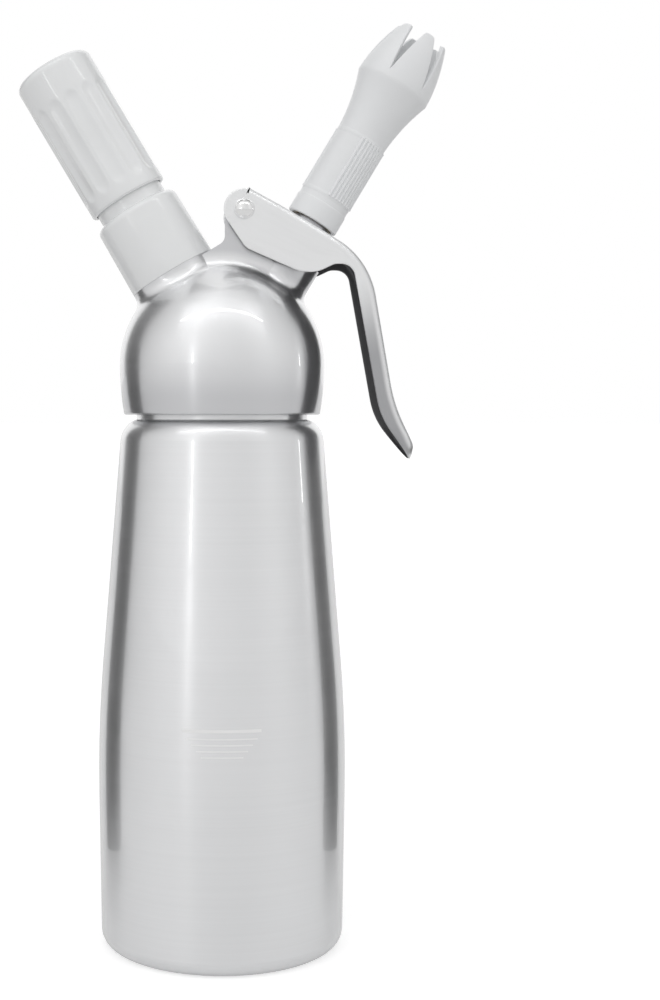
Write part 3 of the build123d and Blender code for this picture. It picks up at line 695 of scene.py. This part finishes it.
class DISPENSER_OT_gas_side(bpy.types.Operator):
    """White collar and fluted charger holder"""
    bl_idname = "dispenser.gas_side"
    bl_label = "Collar and holder"

    def execute(self, context):
        scene = context.scene
        gloss = moulded("gloss white", scene.dispenser_finishes.gloss_white, 0.22, coat=0.5)
        place = joint_frame("holder_turn")
        collar = self.collar(scene.dispenser_collar, place, gloss)
        holder = self.holder(scene.dispenser_holder, place, gloss)
        for piece, body, node_name in ((collar, "head", "charger_collar"),
                                       (holder, "holder", "charger_holder")):
            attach(piece, body)
            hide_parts(node_name)
        return {"FINISHED"}

    def collar(self, sizes, place, finish):
        """Closed profile of the collar carried round the gas axis."""
        profile = rounded([(sizes.tube_radius, sizes.flange_top, 0),
                           (sizes.flange_radius, sizes.flange_top, 0),
                           (sizes.flange_radius, sizes.bottom, 0),
                           (sizes.bottom_radius, sizes.bottom, 0.25 * MM),
                           (sizes.top_radius, sizes.top, sizes.corner),
                           (sizes.neck_radius, sizes.top, sizes.neck_blend),
                           (sizes.neck_radius, sizes.neck_end, 0.3 * MM),
                           (sizes.tube_radius, sizes.neck_end, 0.3 * MM),
                           (sizes.tube_radius, sizes.flange_top, 0)], steps=8)
        return surface("collar", turned(profile, 256, place), finish)

    def holder(self, sizes, place, finish):
        """Profile of the sleeve carried round the gas axis. A flute lowers the outside by
        its depth less the square of the distance from the flute's line over twice the
        radius, so it has round ends, and a smooth maximum softens its edge."""
        crown = [(r, sizes.length - sizes.crown * (r / sizes.radius) ** 2, 0)
                 for r in sizes.radius * np.linspace(0, 0.75, 10)]
        centre = sizes.bore_end - sizes.charger_bore
        seat = sizes.rim_depth + sizes.insert_length
        dome = np.linspace(0, pi / 2, 10)
        outside = rounded(crown + [
            (sizes.radius, sizes.length - sizes.crown, sizes.corner),
            (sizes.radius, 0, sizes.rim_edge), (sizes.rim_bore, 0, 0.2 * MM),
            (sizes.rim_bore, sizes.rim_depth, 0)], steps=8)
        inside = np.concatenate([
            rounded([(sizes.insert_bore, sizes.rim_depth, 0), (sizes.insert_bore, seat, 0),
                     (sizes.charger_bore, seat, 0), (sizes.charger_bore, centre, 0)]),
            np.stack([sizes.charger_bore * np.cos(dome),
                      centre + sizes.charger_bore * np.sin(dome)], axis=-1)])
        profile = densified(np.concatenate([outside, inside]), 0.7 * MM)
        columns_to_flute = 24
        columns = sizes.flutes * columns_to_flute
        turn = np.arange(columns) * 2 * pi / columns
        off_line = off_nearest(turn - sizes.flute_phase, sizes.flutes)
        half = sizes.flute_length / 2
        middle = sizes.flute_start + half
        end_span = half - sqrt(sizes.flute_depth * 2 * sizes.flute_radius)
        past_end = np.maximum(np.abs(profile[:, 1] - middle) - end_span, 0)[:, None]
        bend = 1 / (2 * sizes.flute_radius) + 1 / (2 * sizes.radius)
        off_side = (profile[:, :1] * off_line) ** 2 * bend
        dent = sizes.flute_depth - off_side - past_end ** 2 / (2 * sizes.flute_radius)
        outer = profile[:, :1] > sizes.radius - 0.3 * MM
        dent = np.where(outer, soft_positive(dent, sizes.flute_softness), 0)
        lifted = profile + np.array((0, sizes.start))
        return surface("holder_sleeve", turned(lifted, columns, place, -dent), finish)


class DISPENSER_OT_tip(bpy.types.Operator):
    """White decorating tip with a ribbed sleeve, a flare and notched petals"""
    bl_idname = "dispenser.tip"
    bl_label = "Decorating tip"

    def execute(self, context):
        scene = context.scene
        satin = moulded("tip plastic", scene.dispenser_finishes.tip_white, 0.38, grain=2e-6)
        tip = self.tip(scene.dispenser_tip, joint_frame("tip_turn"), satin)
        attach(tip, "tip")
        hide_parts("decorating_tip")
        return {"FINISHED"}

    def outside(self, sizes, height):
        """Radius at a height: plain base, sleeve with two rings, a flare that widens partly
        evenly and partly by a power of its height, and petals that close by the power that
        carries them through the bulge to the mouth."""
        radius = np.where(height < sizes.base_length, sizes.base_radius, sizes.sleeve_radius)
        for ring in (sizes.lower_ring, sizes.upper_ring):
            away = (height - ring) / (sizes.ring_width / 2)
            radius = radius + sizes.ring_rise * np.exp(-away ** 4)
        flare = share_between(height, sizes.upper_ring, sizes.belly_height)
        rise = sizes.belly_radius - sizes.sleeve_radius
        radius = radius + rise * (FLARE_EVEN * flare
                                  + (1 - FLARE_EVEN) * flare ** FLARE_POWER)
        petal = share_between(height, sizes.belly_height, sizes.length)
        bulge = share_between(sizes.bulge_height, sizes.belly_height, sizes.length)
        fall = sizes.belly_radius - sizes.mouth_radius
        power = np.log((sizes.belly_radius - sizes.bulge_radius) / fall) / np.log(bulge)
        return radius - fall * petal ** power

    def ribs(self, sizes, turn, height):
        """Half-round ribs between the two rings, in patches round the sleeve."""
        off_patch = off_nearest(turn - sizes.rib_phase, sizes.rib_patches)
        reach = (sizes.ribs - 1) / 2
        rib = np.clip(np.round(off_patch / sizes.rib_step + reach), 0, 2 * reach) - reach
        away = (off_patch - rib * sizes.rib_step) * sizes.sleeve_radius
        rise = np.sqrt(np.maximum(sizes.rib_radius ** 2 - away ** 2, 0))
        between = (height > sizes.lower_ring) & (height < sizes.upper_ring)
        return np.where(between, rise, 0)

    def edge_height(self, sizes, turn):
        """Height of the petals' edge: each notch is a V cut straight across the wall, and a
        smooth minimum rounds the corners where it meets the petals' ends."""
        heights = np.linspace(sizes.notch_start, sizes.length, 200)
        half = sizes.notch_width / 2 * share_between(heights, sizes.notch_start, sizes.length)
        pitch = 2 * pi / sizes.petals
        off_notch = np.abs((turn - sizes.petal_phase) % pitch - pitch / 2)
        table = half / self.outside(sizes, heights)
        slope = (heights[-1] - heights[-20]) / (table[-1] - table[-20])
        raw = np.interp(np.sin(off_notch), table, heights)
        past = np.maximum(np.sin(off_notch) - table[-1], 0) * slope
        return sizes.length - soft_positive(sizes.length - raw - past, sizes.petal_corner)

    def tip(self, sizes, place, finish):
        """Rows climb the outside, cross the petals' edge and go down the inside. Above the
        belly a row's height is a share of the way to the edge at its own turn, and the edge
        is rounded by a quarter circle on each side of the wall."""
        columns = 480
        turn = np.arange(columns) * 2 * pi / columns + sizes.petal_phase + pi / sizes.petals
        edge = self.edge_height(sizes, turn)
        slope = np.gradient(edge, 2 * pi / columns) / self.outside(sizes, edge)
        soft = np.minimum(sizes.rim_edge * np.sqrt(1 + slope ** 2), 6 * sizes.rim_edge)
        top = edge - soft
        foot = rounded([(sizes.insert_bore, 0, 0), (sizes.base_radius, 0, 0.4 * MM),
                        (sizes.base_radius, sizes.base_length, 0.12 * MM),
                        (sizes.sleeve_radius, sizes.base_length, 0.12 * MM),
                        (sizes.sleeve_radius, sizes.base_length + MM, 0)])[:-1]
        ring_rows = np.linspace(-0.9, 0.9, 13) * sizes.ring_width
        sleeve = np.unique(np.concatenate([
            np.linspace(sizes.base_length + MM, sizes.lower_ring - MM, 3),
            sizes.lower_ring + ring_rows, sizes.upper_ring + ring_rows,
            np.linspace(sizes.lower_ring + MM, sizes.upper_ring - MM, 8),
            np.linspace(sizes.upper_ring + 1.2 * MM, sizes.belly_height, 22)]))[:, None]
        shares = np.linspace(0, 1, 26)[1:, None]
        petals = sizes.belly_height + shares * (top - sizes.belly_height)
        bend = np.linspace(0, pi / 2, 5)[:, None]
        climb, fall = top + soft * np.sin(bend[1:]), top + soft * np.cos(bend)
        lining = petals[-2::-1]
        throat = np.linspace(sizes.belly_height, sizes.upper_ring, 14)[:, None]
        share_up = share_between(throat, sizes.upper_ring, sizes.belly_height)
        wide = self.outside(sizes, throat) - sizes.wall
        seat = np.array(((sizes.passage_radius, sizes.insert_top),
                         (sizes.insert_bore, sizes.insert_top), (sizes.insert_bore, 0)))
        blocks = [
            (foot[:, :1], foot[:, 1:]),
            (self.outside(sizes, sleeve) + self.ribs(sizes, turn, sleeve), sleeve),
            (self.outside(sizes, petals), petals),
            (self.outside(sizes, climb) - sizes.rim_edge * (1 - np.cos(bend[1:])), climb),
            (self.outside(sizes, fall) - sizes.wall + sizes.rim_edge * (1 - np.sin(bend)),
             fall),
            (self.outside(sizes, lining) - sizes.wall, lining),
            (sizes.passage_radius + (wide - sizes.passage_radius) * share_up ** PASSAGE_POWER,
             throat),
            (seat[:, :1], seat[:, 1:])]
        radius, height = (np.concatenate([np.broadcast_to(rows, (len(rows), columns))
                                          for rows in kind]) for kind in zip(*blocks))
        grid = round_z(radius, height + sizes.start, turn)
        return surface("petal_tip", moved(grid, place), finish, 35)


class DISPENSER_OT_lever(bpy.types.Operator):
    """Pressed stainless lever and its polished rivet"""
    bl_idname = "dispenser.lever"
    bl_label = "Lever"

    def execute(self, context):
        sizes = context.scene.dispenser_lever
        finishes = context.scene.dispenser_finishes
        steel = sheet_steel("lever steel", finishes.lever_steel)
        bright = brushed_metal("rivet steel", finishes.rivet_steel, 0.1, contrast=0.01,
                               depth=1e-7)
        # Dark steel for the lever's inside: painted shade where it lies in shadow.
        inside = brushed_metal("lever inside", finishes.lever_inside_shade, 0.5, contrast=0.03)
        channel = self.lever(sizes, steel, inside)
        rivet = self.rivet(sizes, bright)
        for piece in (channel, self.ears(sizes, steel), rivet):
            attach(piece, "lever")
        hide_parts("lever")
        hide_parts("lever_pin")
        return {"FINISHED"}

    def side_lines(self, sizes):
        """Back and free edge as points (X, Z) from the rivet. The edge leaves the ear where a
        line from its first corner touches the ear's circle."""
        back = [(x * MM, z * MM, r * MM) for x, z, r in BACK_LINE]
        edge = [(x * MM, z * MM, r * MM) for x, z, r in EDGE_LINE]
        x, z = edge[0][:2]
        away = hypot(x, z)
        reach = sqrt(away ** 2 - sizes.ear_radius ** 2)
        ratio = sizes.ear_radius / away
        touch = (x * ratio ** 2 + z / away * ratio * reach,
                 z * ratio ** 2 - x / away * ratio * reach, 0)
        return (densified(rounded(back, 24), 0.4 * MM),
                densified(rounded([touch] + edge, 12), 0.4 * MM))

    def half_section(self):
        """Half of the channel's section, from the middle of the back's outside to the middle
        of its inside: the flat back, the quarter circle of the bend, the flange and the
        rounded rim, and then the same on the inside in turn. Columns: share of the flat
        back; distance in from the flange's outside in bends, sheets and rims; depth in
        bends, sheets and rims; share of the flange's run."""
        flat = np.linspace(0, 1, 7)[:-1]
        arc = np.linspace(0, pi / 2, 10)
        run = np.append(np.linspace(0, 1, 9)[1:-1], (0.999, 1))
        lip = np.linspace(0, pi / 2, 4)[1:]

        def rows(*parts):
            size = max(np.size(part) for part in parts)
            return np.stack([np.broadcast_to(part, size) for part in parts], axis=-1)

        sweep, fall, lean = 1 - np.sin(arc), 1 - np.cos(arc), 1 - np.cos(lip)
        outside = [rows(flat, 1, 0, 0, 0, 0, 0, 0), rows(1, sweep, 0, 0, fall, 0, 0, 0),
                   rows(1, 0, 0, 0, 1, 0, 0, run),
                   rows(1, 0, 0, lean, 1, 0, np.sin(lip), 1)]
        inside = [rows(flat, 1, 0, 0, 0, 1, 0, 0),
                  rows(1, sweep, np.sin(arc), 0, fall, np.cos(arc), 0, 0),
                  rows(1, 0, 1, 0, 1, 0, 0, run),
                  rows(1, 0, 1, -lean, 1, 0, np.sin(lip), 1)]
        return np.concatenate(outside + [np.concatenate(inside)[::-1]])

    def across_lines(self, sizes):
        """Places along the back, closer together at the handle's end, the back's points
        there and the free edge's points across from them. The edge's places run evenly
        between those of ACROSS and are smoothed by a running mean."""
        onward = self.pivot_frame()[2]
        back, edge = (cut_line(line, line @ onward, sizes.web_start)
                      for line in self.side_lines(sizes))
        back_at, edge_at = run_along(back), run_along(edge)
        pairs = [(back_at[nearest(back, np.array(a) * MM)],
                  edge_at[nearest(edge, np.array(b) * MM)]) for a, b in ACROSS]
        pairs = np.array([(0, 0)] + pairs + [(back_at[-1], edge_at[-1])])
        places = np.concatenate([
            np.linspace(0, back_at[-1] - sizes.end_length, 190)[:-1],
            back_at[-1] - sizes.end_length * np.linspace(1, 0, 50) ** 2])
        # The mean takes this many places on each side, and the end stays where it is.
        reach, last = 10, 30
        matched = np.pad(np.interp(places, *pairs.T), reach, mode="reflect",
                         reflect_type="odd")
        matched = np.convolve(matched, np.ones(2 * reach + 1) / (2 * reach + 1),
                              mode="valid")
        matched = np.clip(matched, 0, edge_at[-1])
        matched[-last:] = np.linspace(matched[-last], edge_at[-1], last)
        return places, at_run(back, back_at, places), at_run(edge, edge_at, matched)

    def lever(self, sizes, finish, inside):
        """Channel whose section is carried from the ears to the handle's end: a point lies
        on the line from the back to the free edge, at its depth over the cosine between
        that line and the back's normal. The half width falls as an ellipse at the end."""
        pivot = self.pivot_frame()[0]
        places, top, low = self.across_lines(sizes)
        height = np.linalg.norm(low - top, axis=1)[:, None]
        down = (low - top) / height
        # The handle's last row is a pole.
        height[-1] = 0
        slope = np.gradient(top, axis=0)
        inward = np.stack([slope[:, 1], -slope[:, 0]], axis=-1)
        inward /= np.linalg.norm(inward, axis=1)[:, None]
        lean = np.clip((down * inward).sum(axis=1), LEAST_LEAN, 1)[:, None]
        ends_at = top[-1, 1] + sizes.end_length

        def half_width(z):
            past = np.clip((ends_at - z) / sizes.end_length, 0, 1)
            return sizes.half_width * np.sqrt(1 - past ** 2)

        bend = np.interp(places, np.array(BEND_GROWS) * MM,
                         (sizes.web_bend, sizes.bend))[:, None]
        # Bend, sheet and rim shrink together where the channel is too small for them.
        room = BEND_ROOM * np.minimum(half_width(top[:, 1:]), height * lean)
        scale = np.minimum(1, room / bend)
        bend, sheet, rim = bend * scale, sizes.sheet * scale, sizes.rim * scale
        (flat, bends_in, sheets_in, rims_in, bends_down, sheets_down, rims_down,
         run) = self.half_section().T
        inset = bends_in * bend + sheets_in * sheet + rims_in * rim
        depth = ((bends_down * bend + sheets_down * sheet) / lean + rims_down * rim
                 + run * (height - rim - bend / lean))
        spot = top[:, None] + depth[..., None] * down[:, None]
        across = flat * np.maximum(half_width(spot[..., 1]) - inset, 0)
        half = np.stack([spot[..., 0] + pivot[0], across, spot[..., 1] + pivot[1]], axis=-1)
        grid = np.concatenate([(half * (1, -1, 1))[:, ::-1], half[:, 1:]], axis=1)
        girth = run_along(grid[len(grid) // 2])
        marks = np.stack(np.broadcast_arrays(places[:, None], girth - girth[-1] / 2),
                         axis=-1)
        quads, inner = self.channel_quads(*grid.shape[:2])
        piece = patched("pressed_lever", [(grid.reshape(-1, 3), marks.reshape(-1, 2), quads,
                                           inner)], finish)
        # The inside quads take the painted shade material.
        piece.data.materials.append(inside)
        return self.pierced(sizes, piece)

    def channel_quads(self, rows, columns):
        """Quads of the channel's grid and of the cap that closes the sheet at its start,
        and which of them lie on the inside. The middle column runs down the outside of the
        back, and a flange's outside and inside meet half way to the last column."""
        middle = columns // 2
        order = np.arange((middle + 1) // 2 - 1)
        cap = [np.stack([middle + way * order, middle + way * (order + 1),
                         middle + way * (middle - 1 - order),
                         middle + way * (middle - order)], axis=-1) for way in (-1, 1)]
        quads = np.concatenate([grid_quads(rows, columns)] + cap)
        off_middle = np.abs(quads % columns - middle).min(axis=1)
        return quads, off_middle >= (middle + 1) // 2

    def pivot_frame(self):
        """The rivet's centre, the way up along the valve's axis and the way on along the
        lever's back, all as (X, Z)."""
        up = -np.array(JOINTS["valve_travel"]["axis"])[[0, 2]]
        return (np.array(JOINTS["lever_pivot"]["pos_m"])[[0, 2]], up,
                np.array((up[1], -up[0])))

    def ears(self, sizes, finish):
        """Both ears as rings of their outline: each ring is the outline moved in by the
        rim's rounding and across the sheet, and both faces close at the rivet's centre. The
        outline goes round the ear's circle, steps into the flange and comes back along the
        free edge."""
        pivot, up, onward = self.pivot_frame()
        back, edge = self.side_lines(sizes)
        top = back[0] @ up
        past = sizes.web_start + sizes.lap
        low = edge[:np.argmax(edge @ onward >= past)]
        shoulder_at = sizes.web_start - 0.5 * MM
        shoulder = onward * shoulder_at + up * sizes.ear_radius
        turn = np.linspace(np.arctan2(edge[0, 1], edge[0, 0]) % (2 * pi),
                           np.arctan2(shoulder[1], shoulder[0]), 60)[1:]
        outline = np.concatenate([
            sizes.ear_radius * np.stack([np.cos(turn), np.sin(turn)], axis=-1),
            [onward * along + up * height for along, height in (
                (shoulder_at, top), (sizes.web_start + sizes.rim, top),
                (sizes.web_start + sizes.rim, top - sizes.web_bend),
                (past, top - sizes.web_bend))], low[::-1]])
        outline = densified(outline, 0.5 * MM)[:-1]
        ahead = np.roll(outline, -1, axis=0) - np.roll(outline, 1, axis=0)
        normal = np.stack([-ahead[:, 1], ahead[:, 0]], axis=-1)
        normal /= np.linalg.norm(normal, axis=1)[:, None]
        lip = np.linspace(0, pi / 2, 4)
        rim, thick = sizes.rim, sizes.sheet - 2 * sizes.lap_inset
        steps = ([(1.5 * rim, 0)] + [(rim - rim * sin(a), rim - rim * cos(a)) for a in lip]
                 + [(rim - rim * cos(a), thick - rim + rim * sin(a)) for a in lip]
                 + [(1.5 * rim, thick)])
        outer = sizes.half_width - sizes.lap_inset
        parts = []
        for side in (-1, 1):
            rings = [np.insert(outline - normal * inset, 1, side * (outer - across), axis=1)
                     for inset, across in steps]
            poles = [np.broadcast_to((0.0, side * (outer - across), 0.0), rings[0].shape)
                     for across in (0, thick)]
            grid = np.stack([poles[0]] + rings + [poles[1]])
            grid = np.concatenate([grid, grid[:, :1]], axis=1)
            flat = grid[..., [0, 2]]
            marks = np.stack([flat @ onward, side * (flat @ up)], axis=-1)
            parts.append(((grid + (pivot[0], 0, pivot[1])).reshape(-1, 3),
                          marks.reshape(-1, 2), grid_quads(*grid.shape[:2]), False))
        return patched("lever_ears", parts, finish)

    def pierced(self, sizes, piece):
        """Cuts the round hole for the valve's stem through the back. The drill is turned by
        half a side, so that no edge of it falls on the mirror plane."""
        start = Vector(JOINTS["tip_turn"]["pos_m"])
        along = Vector(JOINTS["tip_turn"]["axis"])
        pivot = Vector(JOINTS["lever_pivot"]["pos_m"])
        centre = start + along * (pivot - start).dot(along)
        sides = 96
        work = bmesh.new()
        bmesh.ops.create_cone(work, cap_ends=True, segments=sides, radius1=sizes.stem_hole,
                              radius2=sizes.stem_hole, depth=2 * sizes.half_width)
        mesh = bpy.data.meshes.new("stem hole")
        work.to_mesh(mesh)
        work.free()
        mesh.transform(Matrix.Translation(centre) @ along.to_track_quat("Z", "Y")
                       .to_matrix().to_4x4() @ Matrix.Rotation(pi / sides, 4, "Z"))
        drill = placed("stem hole", mesh)
        cut = piece.modifiers.new("stem hole", "BOOLEAN")
        cut.operation, cut.solver, cut.object = "DIFFERENCE", "EXACT", drill
        graph = bpy.context.evaluated_depsgraph_get()
        piece.data = bpy.data.meshes.new_from_object(piece.evaluated_get(graph))
        piece.modifiers.clear()
        bpy.data.objects.remove(drill)
        piece.data.set_sharp_from_angle(angle=radians(35))
        return piece

    def rivet(self, sizes, finish):
        """Profile of the rivet carried round its own axis: a shank with a domed cap at each
        end, whose rise follows a circle over the head's radius."""
        radius, rise = sizes.rivet_radius, sizes.rivet_rise
        ball = (radius ** 2 + rise ** 2) / (2 * rise)
        # The cap stops just short of the shank, whose first ring makes its edge.
        swing = np.linspace(0, np.arcsin(radius / ball) * 0.985, 14)
        cap = np.stack([ball * np.sin(swing), sizes.half_width + rise
                        - ball * (1 - np.cos(swing))], axis=-1)
        shank = np.array([(radius, sizes.half_width + 0.02 * MM),
                          (0.7 * radius, sizes.half_width - 0.1 * MM)])
        side = np.concatenate([cap, shank])
        profile = np.concatenate([side, (side * (1, -1))[::-1]])
        place = Matrix.Translation(JOINTS["lever_pivot"]["pos_m"]) @ Matrix.Rotation(
            pi / 2, 4, "X")
        return surface("rivet", turned(profile, 96, place), finish)


class DISPENSER_OT_inside(bpy.types.Operator):
    """Finishes of the valve, the gas port and the other pieces that sit inside"""
    bl_idname = "dispenser.inside"
    bl_label = "Inside pieces"

    def execute(self, context):
        finishes = context.scene.dispenser_finishes
        steel = brushed_metal("plain steel", finishes.plain_steel, 0.25, contrast=0.08)
        brass = brushed_metal("turned brass", finishes.brass, 0.25, contrast=0.08)
        rubber = moulded("seal rubber", finishes.rubber, 0.6, darker=0.8)
        dress(["valve_stem", "poppet_nut", "press_collar", "piercing_pin", "valve_spring",
               "gas_charger"], steel)
        dress(["gas_port_body", "holder_insert", "valve_bush", "tip_insert"], brass)
        dress(["head_gasket", "charger_seal", "non_return_sleeve", "poppet_seal",
               "stem_ring", "tip_seal"], rubber)
        return {"FINISHED"}


class DISPENSER_OT_stage(bpy.types.Operator):
    """Pale floor, soft light all round, strip lamps, dark cards and the camera"""
    bl_idname = "dispenser.stage"
    bl_label = "Stage"

    def execute(self, context):
        scene = context.scene
        settings = scene.dispenser_stage
        scene.view_settings.view_transform = "Standard"
        self.camera(scene, settings)
        self.floor(settings)
        self.cards(settings)
        self.world(scene, settings)
        for name, place, size, glow in STRIPS:
            self.strip(name, place, size, glow * settings.strip_glow)
        return {"FINISHED"}

    def camera(self, scene, settings):
        """Level camera whose lens is shifted, so that the bottle's axis and the camera's
        own height fall on the given column and row of the image."""
        data = bpy.data.cameras.new("camera")
        data.lens = settings.lens
        data.shift_x = (IMAGE_WIDTH / 2 - settings.axis_column) / IMAGE_HEIGHT
        data.shift_y = (settings.horizon_row - IMAGE_HEIGHT / 2) / IMAGE_HEIGHT
        data.clip_start = 0.01
        camera = placed("camera", data)
        camera.location = (0, -settings.camera_distance, settings.camera_height)
        camera.rotation_euler = (pi / 2, 0, 0)
        scene.camera = camera

    def flat(self, name, corners, finish):
        """Object of one four-sided face."""
        mesh = bpy.data.meshes.new(name)
        mesh.from_pydata(corners, [], [(0, 1, 2, 3)])
        mesh.materials.append(finish)
        return placed(name, mesh)

    def floor(self, settings):
        """Wide pale floor; the camera sees it nearly white, and reflections a little
        lighter than it is."""
        made, tree, shader = material("floor", {
            "Base Color": (*settings.floor_colour, 1), "Emission Color": (1, 1, 1, 1),
            "Roughness": 0.9, "Specular IOR Level": 0.2})
        path = node(tree, "ShaderNodeLightPath").outputs
        gloss = worked(tree, "MULTIPLY", path["Is Glossy Ray"], settings.floor_gloss)
        glow = worked(tree, "MULTIPLY_ADD", path["Is Camera Ray"], settings.floor_glow, gloss)
        tree.links.new(glow, shader.inputs["Emission Strength"])
        reach = settings.floor_reach
        floor = self.flat("floor", [(-reach, -reach, 0), (reach, -reach, 0),
                                    (reach, reach, 0), (-reach, reach, 0)], made)

    def cards(self, settings):
        """Two dark cards that only reflections show, one behind each side."""
        made = material("card", {
            "Base Color": (0, 0, 0, 1), "Emission Color": (1, 1, 1, 1), "Roughness": 1.0,
            "Emission Strength": settings.card_glow, "Specular IOR Level": 0.0})[0]
        for side in (-1, 1):
            near, far = ((side * x * MM, y * MM) for x, y in CARD_FOOT)
            card = self.flat("card", [(*near, 0), (*far, 0), (*far, settings.card_height),
                                      (*near, settings.card_height)], made)
            card.visible_camera = card.visible_diffuse = card.visible_shadow = False

    def world(self, scene, settings):
        """Soft light whose level follows the angle round the dispenser; the camera itself
        sees plain white."""
        world = bpy.data.worlds.new("studio")
        world.use_nodes = True
        tree = world.node_tree
        tree.nodes.clear()
        parts = node(tree, "ShaderNodeSeparateXYZ",
                     {0: node(tree, "ShaderNodeTexCoord").outputs["Generated"]}).outputs
        compass = worked(tree, "ARCTAN2", parts["X"],
                         worked(tree, "MULTIPLY", parts["Y"], -1.0))
        ramp = node(tree, "ShaderNodeValToRGB", {0: span(tree, compass, 0, 1, -pi, pi)})
        elements = ramp.color_ramp.elements
        for _ in STUDIO[2:]:
            elements.new(0.5)
        for element, (degrees_round, level) in zip(elements, STUDIO):
            element.position = 0.5 + degrees_round / 360
            element.color = (level, level, level, 1)
        light = node(tree, "ShaderNodeBackground", {"Color": ramp.outputs[0],
                                                    "Strength": settings.world_strength})
        plain = node(tree, "ShaderNodeBackground", {"Color": (1, 1, 1, 1), "Strength": 1.0})
        seen = node(tree, "ShaderNodeLightPath").outputs["Is Camera Ray"]
        both = node(tree, "ShaderNodeMixShader", {0: seen, 1: light.outputs[0],
                                                  2: plain.outputs[0]})
        node(tree, "ShaderNodeOutputWorld", {"Surface": both.outputs[0]})
        scene.world = world

    def strip(self, name, place, size, glow):
        """Area lamp that faces the dispenser; its power is pi times its area times glow."""
        data = bpy.data.lights.new(name, "AREA")
        data.shape = "RECTANGLE"
        data.size, data.size_y = size
        data.energy = pi * size[0] * size[1] * glow
        lamp = placed(name, data)
        lamp.location = place
        facing = Vector((0, 0, LAMP_AIM)) - lamp.location
        lamp.rotation_euler = facing.to_track_quat("-Z", "Y").to_euler()


class DISPENSER_PT_parts(bpy.types.Panel):
    """Lists the dispenser's pieces in the sidebar"""
    bl_idname = "DISPENSER_PT_parts"
    bl_label = "Dispenser"
    bl_space_type = "VIEW_3D"
    bl_region_type = "UI"
    bl_category = "Dispenser"

    def draw(self, context):
        for maker in MAKERS:
            self.layout.operator(maker.bl_idname)


MAKERS = [DISPENSER_OT_bottle, DISPENSER_OT_head, DISPENSER_OT_gas_side, DISPENSER_OT_tip,
          DISPENSER_OT_lever, DISPENSER_OT_inside, DISPENSER_OT_stage]
SETTINGS = {"dispenser_holder": HolderSizes, "dispenser_collar": CollarSizes,
            "dispenser_tip": TipSizes, "dispenser_lever": LeverSizes,
            "dispenser_marks": MarkSizes, "dispenser_finishes": Finishes,
            "dispenser_stage": StageSettings}


def register():
    for made in [*SETTINGS.values(), *MAKERS, DISPENSER_PT_parts]:
        bpy.utils.register_class(made)
    for name, kind in SETTINGS.items():
        setattr(bpy.types.Scene, name, PointerProperty(type=kind))


def unregister():
    for name in SETTINGS:
        delattr(bpy.types.Scene, name)
    for made in [DISPENSER_PT_parts, *MAKERS, *SETTINGS.values()]:
        bpy.utils.unregister_class(made)


def main():
    register()
    for maker in MAKERS:
        group, action = maker.bl_idname.split(".")
        getattr(getattr(bpy.ops, group), action)()


if __name__ == "__main__":
    main()
